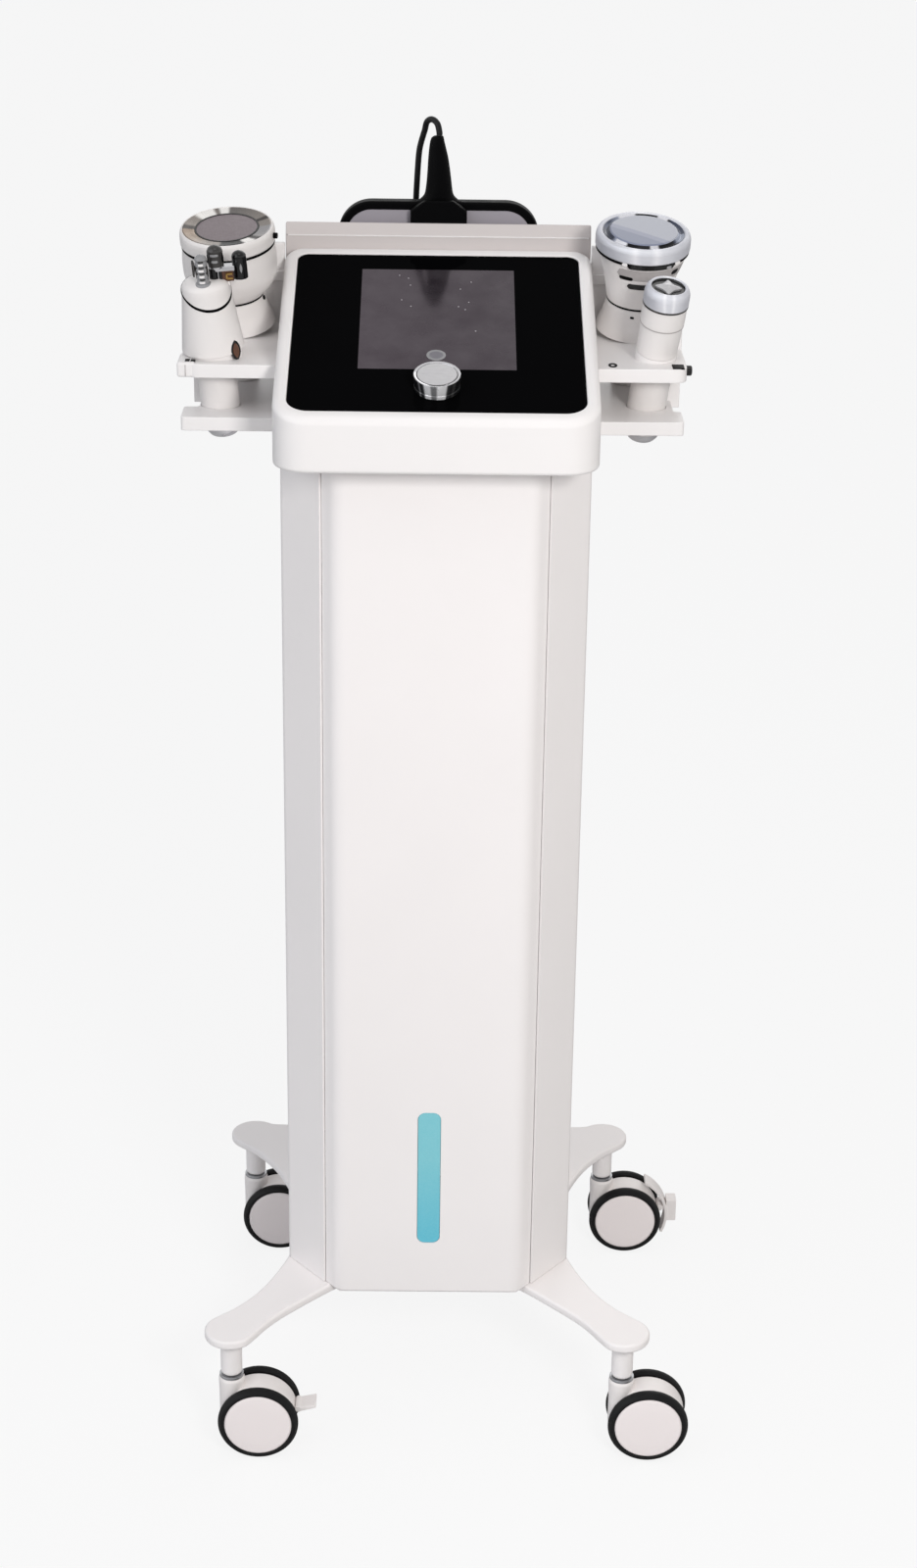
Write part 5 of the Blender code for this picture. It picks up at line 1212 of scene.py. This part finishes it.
def round_body(tool):
    """The white body under a round head, with its two black grooves."""
    at = tool_matrix(tool)
    top = -HEAD_DEPTH - HEAD_GROOVE
    waist = top - BOWL_DEPTH
    handle = handle_profile(tool, at, FOOT_RADIUS)
    seat = handle[-1][1]
    skirt = flowing([(FOOT_RADIUS, seat + 0.0006), (0.0332, seat + 0.0070), SKIRT[1], (0.0288, -0.0710),
                     (WAIST_RADIUS, waist - HEAD_GROOVE - 0.0006)])
    profile = softened(handle, 0.0010, 4) + skirt + [(0.0258, waist - HEAD_GROOVE)]
    profile += [(0.0258, waist)] + bowl_curve(tool)
    profile += [(0.0360, top), (0.0360, -HEAD_DEPTH + 0.004), (0, -HEAD_DEPTH + 0.004)]
    fit(tool, at, "bowl", lathe(profile), "tool white", "body")
    for name, bottom, upper, radius in (("neck", top - 0.0002, -HEAD_DEPTH + 0.0001, 0.0408),
                                        ("waist", waist - HEAD_GROOVE, waist + 0.0002, 0.0276)):
        fit(tool, at, f"{name}_line", hoop(0.020, radius, bottom, upper, ROUND_SIDES, 0.0004), "black")
    return at


def collar_foot():
    """The lower part of both round heads' collars."""
    return [(0.030, -HEAD_DEPTH + GAP), (HEAD_RIM_FOOT, -HEAD_DEPTH + GAP), (HEAD_RIM, -HEAD_DEPTH + 0.0014)]


def marks_on(tool, at, profile, marks):
    """Small inlays on a turned body, some of them painted shade and highlights: name, finish, two angles, two
    heights and how far each stands out.
    """
    for name, finish, start, end, low, high, proud in marks:
        fit(tool, at, name, patch_on(profile, start, end, low, high, proud), finish)


def cavitation_head():
    tool = "cavitation"
    at = round_body(tool)
    collar = ring(collar_foot() + [(HEAD_RIM, -0.0052), (0.0410, -0.0024), (0.0399, -0.0006), (0.0389, 0.0),
                                   (0.0384, -0.0010), (0.030, -0.0068)], ROUND_SIDES, 0.0011, 4)
    fit(tool, at, "collar", collar, "tool white")
    band = ring(((0.0277, -0.0066), (0.0384, -0.0046), (0.0389, -0.0006), (0.0380, -0.0002),
                 (0.0330, -0.0010), (0.0290, -0.0014), (0.0277, -0.0018)), ROUND_SIDES, 0.0007, 4)
    fit(tool, at, "band", band, "nickel", "ring")
    fit(tool, at, "line", hoop(0.0266, 0.0280, -0.0052, -0.0013), "black gloss")
    disc = lathe(((0, -0.0052), (0.0268, -0.0052), (0.0268, -0.0017), (0, -0.0014)), ROUND_SIDES, 0.0005)
    fit(tool, at, "face", disc, "grey face", "disc")
    marks_on(tool, at, SKIRT, (("dash", "black", -16, -7, -0.0684, -0.0648, 0.0006),))
    peg = lathe(((0, 0.036), (0.0022, 0.036), (0.0026, 0.0448), (0, 0.0450)), 32, 0.0005)
    turn = Matrix.Rotation(math.radians(-12), 4, "Z") @ Matrix.Translation((0, 0, -0.0067))
    fit(tool, at @ turn @ OUTWARD, "peg", peg, "black")


def light_therapy_head():
    tool = "light_therapy"
    at = round_body(tool)
    collar = ring(collar_foot() + [(HEAD_RIM, -0.0044), (0.0406, -0.0016), (0.0390, -0.0001), (0.0366, 0.0),
                                   (0.0353, -0.0008), (0.0349, -0.0052), (0.0300, -0.0062)],
                  ROUND_SIDES, 0.0010, 4)
    fit(tool, at, "collar", collar, "round collar", "ring")
    well = ring(((0.0280, -0.0060), (0.0349, -0.0056), (0.0353, -0.0004), (0.0322, -0.0018), (0.0300, 0.0002),
                 (0.0280, -0.0020)), ROUND_SIDES, 0.0005)
    fit(tool, at, "well", well, "lens rim")
    lens = ((0, -0.0045), (0.0298, -0.0045), (0.0298, 0.0002), (0.0288, 0.0008), (0, 0.0012))
    fit(tool, at, "window", lathe(lens, ROUND_SIDES, 0.0006), "lens", "lens")
    marks_on(tool, at, [(0.0396, -0.0170), *bowl_curve(tool)[::-1], *SKIRT], (
        ("shade", "shadow grey", -128, -14, -0.0318, -0.0206, 0.00025),
        ("slot_left", "black", -125, -104, -0.0320, -0.0284, 0.0006),
        ("slot_front", "black gloss", -113, -70, -0.0410, -0.0357, 0.0006),
        ("slot_right", "black", -47, -34, -0.0280, -0.0232, 0.0006),
        ("dash", "black", -105, -98, -0.0706, -0.0690, 0.0005),
    ))
    marks_on(tool, at, [(0.0400, -0.0120), (0.0400, -0.0220)], (
        ("gap_left", "white plastic", -118, -111, -0.0164, -0.0137, 0.0012),
        ("gap_right", "white plastic", -49, -40, -0.0164, -0.0137, 0.0012),
        ("lip", "black gloss", -111, -50, -0.0181, -0.0139, 0.0011),
        ("glint", "chrome", -62, -55, -0.0176, -0.0152, 0.0015),
    ))


def suction_seam():
    """The tilted plane that parts the cap from the barrel: a point of it and its upward normal."""
    tilt, towards = math.radians(28), math.radians(-72)
    normal = Vector((math.sin(tilt) * math.cos(towards), math.sin(tilt) * math.sin(towards), math.cos(tilt)))
    return Vector((0, 0, 0.0040)), normal


def prong(name, finish, spot, radius, low, top, nodes=(), ribs=()):
    """An upright rod with a domed tip, and a groove at each of its ribs."""
    outline = [(0, low), (radius, low)]
    for height in ribs:
        outline += [(radius, height), (radius * 0.84, height + 0.0007), (radius * 0.84, height + 0.0017)]
        outline += [(radius, height + 0.0025)]
    outline += [(radius, top - radius * 0.8)]
    outline += [(r, top - radius * 0.8 + 0.8 * h) for r, h in arc((0, 0), radius, 12, 80, 6)] + [(0, top)]
    fit("suction", spot, name, lathe(outline, SMALL_SIDES), finish, *nodes)


def strips_on(spot, stem, radius, strips, proud=0.0002):
    """Thin strips of painted light and shade up a prong's side: name, finish, two angles and two heights."""
    side = [(radius, 0.05), (radius, 0.0)]
    marks_on("suction", spot, side, [(f"{stem}{name}", *rest, proud) for name, *rest in strips])


def suction_cap_parts(at):
    """What stands on the front left handpiece's cap: three prongs, a bracket and the ear."""
    tool = "suction"
    pitch = 0.0052
    rise = [pitch * row for row in range(5)]
    spot = at @ Matrix.Translation((-0.0005, -0.0100, 0))
    ribs = [0.0170 + up for up in rise[:4]]
    prong("clear_prong", "clear", spot, 0.0052, 0.0108, 0.0392, ["clear_electrode"], ribs)
    # Painted light on the clear prong: darker painted edges at its two sides, pale painted glints on its ribs
    # and painted shade between them.
    strips = [("side_left", "dark glass", -176, -142, 0.0125, 0.0372)]
    strips += [("side_right", "dark glass", -38, -4, 0.0125, 0.0372)]
    strips += [(f"glint_{row}", "white plastic", -122 + 7 * (row % 2), -66, 0.0152 + up, 0.0170 + up)
               for row, up in enumerate(rise[:4])]
    strips += [(f"shade_{row}", "dark glass", -112, -60, 0.0128 + up, 0.0142 + up)
               for row, up in enumerate(rise)]
    strips_on(spot, "clear_", 0.0052, strips)
    # A strip of painted shade beside the clear prong's left side.
    strips_on(spot, "", 0.0078, (("left_shade", "dark glass", 150, 190, 0.0150, 0.0385),), 0.0003)
    foot = ring(((0.0050, 0.0118), (0.0074, 0.0118), (0.0076, 0.0130), (0.0064, 0.0144), (0.0050, 0.0144)),
                SMALL_SIDES, 0.0004)
    fit(tool, spot, "foot_ring", foot, "clear")
    spot = at @ Matrix.Translation((0.0112, -0.0010, 0))
    prong("dark_prong", "dark glass", spot, 0.0068, 0.0255, 0.0432, ["chrome_electrode"])
    # Painted light on the dark prong: darker painted edges at its sides and two pale painted highlights.
    strips_on(spot, "dark_", 0.0068, (
        ("edge_left", "black", -178, -146, 0.0260, 0.0376),
        ("edge_right", "black", -36, -4, 0.0260, 0.0376),
        ("glint_high", "clear", -125, -62, 0.0352, 0.0372),
        ("glint_low", "clear", -118, -70, 0.0296, 0.0318),
    ))
    fit(tool, spot, "prong_ring", rod(0.0066, 0.0238, 0.0258, SMALL_SIDES, 0.0004), "chrome")
    prong("stem", "black gloss", at @ Matrix.Translation((0.0086, -0.0010, 0)), 0.0044, 0.0100, 0.0252)
    spot = at @ Matrix.Translation((0.0302, 0.0062, 0))
    prong("black_prong", "black gloss", spot, 0.0062, 0.0102, 0.0340, ["black_electrode"])
    # A pale painted highlight up the black prong's front.
    strips_on(spot, "black_", 0.0062, (("painted_gleam", "clear", -88, -68, 0.0115, 0.0290),))
    for name, finish, *boxes in (
        ("bracket", "chrome", ((0.0080, -0.0050, 0.0206), (0.0266, 0.0034, 0.0250), 0.0008, 3),
         ((0.0110, -0.0038, 0.0110), (0.0126, -0.0020, 0.0208), 0.0003)),
        ("bracket_well", "amber", ((0.0148, -0.0028, 0.0110), (0.0250, 0.0008, 0.0208), 0.0003)),
        ("bracket_cheek", "black gloss", ((0.0126, -0.0040, 0.0110), (0.0154, -0.0020, 0.0206), 0.0003)),
        ("contact", "gold", ((0.0184, -0.0042, 0.0130), (0.0242, -0.0026, 0.0146), 0.0003),
         ((0.0184, -0.0042, 0.0130), (0.0200, -0.0026, 0.0186), 0.0003),
         ((0.0184, -0.0042, 0.0170), (0.0242, -0.0026, 0.0186), 0.0003)),
        ("ear", "tool white", ((0.0080, -0.0030, 0.0060), (0.0215, 0.0060, 0.0108), 0.0014, 3)),
    ):
        fit(tool, at, name, blocks(*boxes), finish)


def suction_tool():
    tool = "suction"
    at = tool_matrix(tool)
    point, normal = suction_seam()
    handle = handle_profile(tool, at, SUCTION_FOOT_RADIUS)
    crown = [(CROWN_RADIUS, 0.0050), (0.0205, 0.0086), (0.0180, 0.0120), (0.0131, 0.0141), (0.0060, 0.0145)]
    profile = softened(handle + [(CROWN_RADIUS, 0.0)], 0.0010, 4) + flowing(crown, 4) + [(0, 0.0145)]
    for name, node, cut_at, facing in (("barrel", "body", point, normal),
                                       ("crown", "cap", point + normal * 0.0012, -normal)):
        mesh = lathe(profile)
        geometry = list(mesh.verts) + list(mesh.edges) + list(mesh.faces)
        cut = bmesh.ops.bisect_plane(mesh, geom=geometry, plane_co=cut_at, plane_no=facing, clear_outer=True)
        rim = [item for item in cut["geom_cut"] if isinstance(item, bmesh.types.BMEdge)]
        bmesh.ops.contextual_create(mesh, geom=rim)
        fit(tool, at, name, mesh, "tool white", node)
    tilt = normal.to_track_quat("Z", "X").to_matrix().to_4x4()
    slice_of_it = moved(rod(0.035, -0.0003, 0.0015), Matrix.Translation(point) @ tilt)
    shell = lathe([(radius + 0.0003 if radius else 0, height) for radius, height in profile])
    fit(tool, at, "line", combined(shell, slice_of_it, "INTERSECT"), "black")
    suction_cap_parts(at)
    marks_on(tool, at, [(CROWN_RADIUS, 0.0), (SUCTION_FOOT_RADIUS, handle[-1][1])], (
        ("window_rim", "black gloss", -51, -27, -0.0560, -0.0360, 0.0003),
        ("window", "amber", -47, -32, -0.0542, -0.0378, 0.0005),
    ))
    tail(tool, at, "chrome")


def tail(tool, at, finish):
    """The connector that closes the lower end of a handle."""
    top = level(at, HANDLE_END[tool]) - GAP
    profile = [(0, top - 0.0120), (0.0070, top - 0.0112), (0.0120, top - 0.0090), (0.0148, top - 0.0050)]
    profile += [(0.0148, top), (0, top)]
    fit(tool, at, "tail", lathe(profile, ROUND_SIDES, 0.0008), finish, "connector")


def facial_tool():
    tool = "facial"
    at = tool_matrix(tool)
    seat = seat_level(tool, at) + GAP
    profile = handle_profile(tool, at, FACIAL_RADIUS) + [(FACIAL_RADIUS, seat + 0.0030)]
    profile = softened(profile, 0.001, 4)
    profile += flowing([(FACIAL_RADIUS, seat + 0.0040), (0.0179, -0.052), (0.0183, -0.0366),
                        (0.0189, -0.0342), (0.0190, -0.0300)])
    profile += [(0.0189, -0.0166), (0, -0.0166)]
    fit(tool, at, "tube", lathe(profile), "tool white", "body")
    fit(tool, at, "line", rod(0.0197, -0.0174, -0.0156, ROUND_SIDES, 0.0003), "dark glass")
    step = ring(((0.0170, -0.0358), (0.0188, -0.0358), (0.0190, -0.0348), (0.0170, -0.0348)))
    fit(tool, at, "step", step, "shadow grey")
    cap = ((0, -0.0160), (0.0194, -0.0160), (0.0197, -0.0150), (0.0196, -0.0062), (0.0186, -0.0030),
           (0.0166, -0.0004), (0.0150, 0.0), (0.0144, -0.0008), (0.0142, -0.0034), (0, -0.0034))
    fit(tool, at, "collar", lathe(cap, ROUND_SIDES, 0.0013, 4), "slim collar", "cap")
    well = lathe(((0, -0.0036), (0.0143, -0.0036), (0.0143, -0.0012), (0.0136, -0.0026), (0, -0.0028)))
    fit(tool, at, "well", well, "black gloss")
    fit(tool, at, "star", star(), "satin", "electrode")
    tail(tool, at, "satin")


def star():
    """A four-pointed star whose ridges rise to its middle."""
    outline = []
    for point in range(8):
        radius = 0.0126 if point % 2 == 0 else 0.0064
        outline.append((radius * math.cos(math.pi * point / 4), radius * math.sin(math.pi * point / 4)))
    outline = softened(outline, 0.0030, 4, closed=True)
    rings = []
    for share, height in ((1.0, -0.0033), (1.0, -0.0012), (0.86, -0.0004), (0.45, 0.0006), (0.12, 0.0012)):
        rings.append([(x * share, y * share, height) for x, y in outline])
    return loft(rings)


def boss_outline(margin):
    wide, tall = (size + margin for size in BOSS_HALF_SIZE)
    corners = [(wide / 2, -tall), (wide, -tall / 2), (wide, tall / 2), (wide / 2, tall)]
    corners += [(-x, z) for x, z in corners[::-1]]
    return [(x, BOSS_HEIGHT + z) for x, z in corners]


def pad_outline(inset):
    low = (-PAD_HALF_WIDTH + inset, POCKET_FLOOR + GAP + inset)
    high = (PAD_HALF_WIDTH - inset, PAD_TOP - inset)
    return rounded_box(low, high, PAD_CORNER - inset, PAD_CORNER - inset, 14)


def pad():
    """The pad in the pocket: a black frame with its boss and boot, round a grey face."""
    body = across(pad_outline(0), PAD_FRONT, PAD_REAR, 0.0022, 4)
    body = combined(body, across(pad_outline(PAD_RIM), PAD_FRONT - 0.02, PAD_FACE_FRONT + 0.0015))
    outline = softened(boss_outline(0), 0.0016, 3, closed=True)
    boss = across(outline, BOSS_FRONT, BOSS_FRONT + 0.020, 0.0014, 3)
    place("pad_frame", merged(body, boss), "black", "pad", ["pad_body"])
    face = across(pad_outline(PAD_RIM + 0.0002), PAD_FACE_FRONT, PAD_FACE_REAR, 0.0003, 2)
    face = combined(face, across(boss_outline(GAP), BOSS_FRONT - 0.01, BOSS_FRONT + 0.03))
    place("pad_plate", face, "pad face", "pad", ["pad_face"])
    place("pad_boot", boot(), "black", "pad")


def boot():
    """The boot on the pad's top: a flared foot, a slender body and a blunt shoulder that leans a little.

    A station is a height, the lean to the side there, and half the boot's width and depth.
    """
    stations = ((1.1100, 0.0, 0.0210, 0.0090), (1.1160, 0.0, 0.0205, 0.0100), (1.1180, 0.0, 0.0172, 0.0108),
                (1.1215, 0.0, 0.0136, 0.0112), (1.1260, 0.0, 0.0121, 0.0112), (1.1340, 0.0, 0.0111, 0.0108),
                (1.1440, -0.0003, 0.0101, 0.0100), (1.1550, -0.0009, 0.0089, 0.0089),
                (1.1640, -0.0016, 0.0074, 0.0076), (1.1690, -0.0019, 0.0064, 0.0066),
                (1.1720, -0.0017, 0.0056, 0.0058), (1.1736, -0.0010, 0.0044, 0.0046),
                (1.1742, -0.0004, 0.0030, 0.0032))
    heights = flowing([(wide, z) for z, _, wide, _ in stations], 4)
    rings = []
    for wide, z in heights:
        before = max((row for row in stations if row[0] <= z + 1e-5), key=lambda row: row[0])
        after = min((row for row in stations if row[0] >= z - 1e-5), key=lambda row: row[0])
        share = 0 if before is after else (z - before[0]) / (after[0] - before[0])
        lean = before[1] + (after[1] - before[1]) * share
        deep = before[3] + (after[3] - before[3]) * share
        turns = [math.tau * step / 48 for step in range(48)]
        rings.append([(lean + wide * math.cos(a), BOOT_MIDDLE + deep * math.sin(a), z) for a in turns])
    return loft(rings)


def smooth_route(route, steps):
    """Points along a smooth curve through the route's own points."""
    knots = [Vector(point) for point in route]
    slopes = []
    for index, knot in enumerate(knots):
        before = knots[max(index - 1, 0)]
        after = knots[min(index + 1, len(knots) - 1)]
        ahead, behind = (after - knot).length, (knot - before).length
        slopes.append((after - before).normalized() * (min(ahead or behind, behind or ahead) / 3))
    points = [knots[0]]
    for index in range(len(knots) - 1):
        count = 1 if index == 0 else steps
        first = knots[index] + slopes[index]
        second = knots[index + 1] - slopes[index + 1]
        points += interpolate_bezier(knots[index], first, second, knots[index + 1], count + 1)[1:]
    return points


def lead_tube(points):
    """The cord as a mesh tube between the pad and the machine."""
    curve = bpy.data.curves.new("step", "CURVE")
    curve.dimensions = "3D"
    curve.bevel_depth = CORD_DIAMETER / 2
    curve.bevel_resolution = 6
    curve.use_fill_caps = True
    spline = curve.splines.new("POLY")
    spline.points.add(len(points) - 1)
    for target, point in zip(spline.points, points):
        target.co = (*point, 1)
    spline.use_smooth = True
    drawn = shown("step", curve)
    tube = evaluated_mesh(drawn)
    bpy.data.curves.remove(curve)
    tube.name = "pad_lead"
    tube.materials.clear()
    tube.materials.append(FINISHES["cord"][0])
    return tube


def lead():
    """The pad's cord, its plug and its socket."""
    points = [AXIS @ point for point in smooth_route(CORD_ROUTE, CORD_STEPS)]
    cord = shown("pad_lead", lead_tube(points))
    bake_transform(cord)
    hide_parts("pad_cord")
    low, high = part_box("pad_plug")
    at = Matrix.Translation((PLUG_SIDE, low.y, (low.z + high.z) / 2))
    profile = [(0, 0), (0.0090, 0), (0.0090, 0.0240), (0.0062, 0.0250)]
    for row in range(4):
        start = 0.0252 + row * 0.0030
        radius = 0.0056 - row * 0.0004
        profile += [(radius, start), (radius, start + 0.0018)]
        profile += [(radius - 0.0010, start + 0.0020), (radius - 0.0010, start + 0.0028)]
    profile += [(0.0042, 0.0378), (0, 0.0380)]
    plug = place("pad_plug_body", along_y(lathe(profile, 64, 0.0005)), "black", "machine", ["pad_plug"], at)
    dress("pad_socket", "steel")


def hidden_works():
    for node, finish in (
        ("base_plate", "white paint"), ("rear_panel", "white paint"), ("mains_inlet", "black"),
        ("power_switch", "black gloss"), ("power_supply", "steel"), ("vacuum_pump", "pump"),
        ("screen_module", "steel"), ("control_board", "board"), ("knob_encoder", "steel"),
    ):
        dress(node, finish)


def floor_material():
    """A pale floor. The camera sees most of it as an even tone, in which the object's shadow stays faint."""
    made = bpy.data.materials.new("floor")
    made.use_nodes = True
    made.node_tree.nodes.clear()
    nodes = Nodes(made)
    lit, faint = (nodes.add("ShaderNodeBsdfDiffuse", {"Color": (tone, tone, tone, 1.0)}).outputs[0]
                  for tone in (FLOOR_BOUNCE, FLOOR_ALBEDO))
    glow = nodes.add("ShaderNodeEmission", {"Color": (1.0, 1.0, 1.0, 1.0), "Strength": FLOOR_GLOW}).outputs[0]
    seen = nodes.add("ShaderNodeAddShader", {0: faint, 1: glow}).outputs[0]
    camera_ray = nodes.add("ShaderNodeLightPath").outputs["Is Camera Ray"]
    choice = nodes.add("ShaderNodeMixShader", {0: camera_ray, 1: lit, 2: seen}).outputs[0]
    nodes.add("ShaderNodeOutputMaterial", {"Surface": choice})
    return made


def floor():
    mesh = bmesh.new()
    bmesh.ops.create_grid(mesh, x_segments=1, y_segments=1, size=FLOOR_SIZE)
    obj = shown("floor", mesh_data("floor", mesh))
    obj.data.materials.append(floor_material())


def world():
    """Even light, cooler from the left. Glossy rays meet a grey ceiling, and the camera a pale backdrop."""
    studio = bpy.data.worlds.new("studio")
    studio.use_nodes = True
    studio.node_tree.nodes.clear()
    nodes = Nodes(studio)
    split = nodes.split(nodes.direction)

    def ramp(axis, start, end, low, high):
        return nodes.ranged(split[axis], low, high, start, end, interpolation_type="SMOOTHSTEP")

    def background(colour, strength=1.0):
        return nodes.add("ShaderNodeBackground", {"Color": colour, "Strength": strength}).outputs[0]

    lighting = background(nodes.mixed(ramp("X", -1.0, 1.0, 0.0, 1.0), WORLD_COOL, WORLD_WARM), WORLD_LIGHT)
    behind = ramp("Y", -0.4, 0.4, 0.50, 0.78)
    grey = nodes.add("ShaderNodeCombineXYZ", {0: behind, 1: behind, 2: behind}).outputs[0]
    mirrored = background(nodes.mixed(ramp("Z", 0.25, 0.62, 0.0, 1.0), WORLD_PALE, grey))
    path = nodes.add("ShaderNodeLightPath").outputs
    first = nodes.add("ShaderNodeMixShader", {0: path["Is Glossy Ray"], 1: lighting, 2: mirrored}).outputs[0]
    through = nodes.reckon("MAXIMUM", path["Is Camera Ray"], path["Is Transmission Ray"])[0]
    seen = background((*WORLD_PALE, 1.0))
    second = nodes.add("ShaderNodeMixShader", {0: through, 1: first, 2: seen}).outputs[0]
    nodes.add("ShaderNodeOutputWorld", {"Surface": second})
    bpy.context.scene.world = studio


def lamp(name, kind, towards, strength, colour, **settings):
    """A lamp that shines back along towards."""
    data = bpy.data.lights.new(name, kind)
    data.energy = strength
    data.color = colour
    for key, value in settings.items():
        setattr(data, key, value)
    obj = shown(name, data)
    obj.rotation_euler = Vector(towards).to_track_quat("Z", "Y").to_euler()
    return obj


def lamps():
    for name, towards, strength, angle, colour in SUNS:
        lamp(name, "SUN", towards, strength, colour, angle=math.radians(angle))
    towards = Vector(LAMP_PLACE) - Vector(LAMP_AIM)
    front = lamp("front", "AREA", towards, LAMP_WATTS, LAMP_COLOUR, size=LAMP_SIZE)
    front.location = LAMP_PLACE
    front.visible_camera = False
    front.visible_glossy = False


def camera():
    """The photograph's own view: its place, its direction and its lens."""
    pitch, roll, yaw = (math.radians(angle) for angle in CAMERA_TURN_DEG)
    ahead = Vector((math.sin(yaw) * math.cos(pitch), math.cos(yaw) * math.cos(pitch), -math.sin(pitch)))
    level_right = Vector((math.cos(yaw), -math.sin(yaw), 0))
    level_down = ahead.cross(level_right)
    right = level_right * math.cos(roll) - level_down * math.sin(roll)
    down = level_right * math.sin(roll) + level_down * math.cos(roll)
    data = bpy.data.cameras.new("camera")
    data.sensor_fit = "AUTO"
    data.sensor_width = 36.0
    data.lens = CAMERA_LENS
    data.clip_end = 200.0
    obj = shown("camera", data)
    turn = Matrix((right, -down, -ahead)).transposed()
    obj.matrix_world = AXIS @ Matrix.Translation(CAMERA_PLACE) @ turn.to_4x4()
    bpy.context.scene.camera = obj


def build():
    camera()
    lead()
    legs()
    for end, side, corner in corner_names():
        caster(corner, side, end)
    pedals()
    column()
    console()
    console_face()
    housing()
    holders()
    cavitation_head()
    light_therapy_head()
    suction_tool()
    facial_tool()
    pad()
    hidden_works()
    floor()
    world()
    lamps()
    bpy.context.scene.view_settings.view_transform = "Standard"


build()
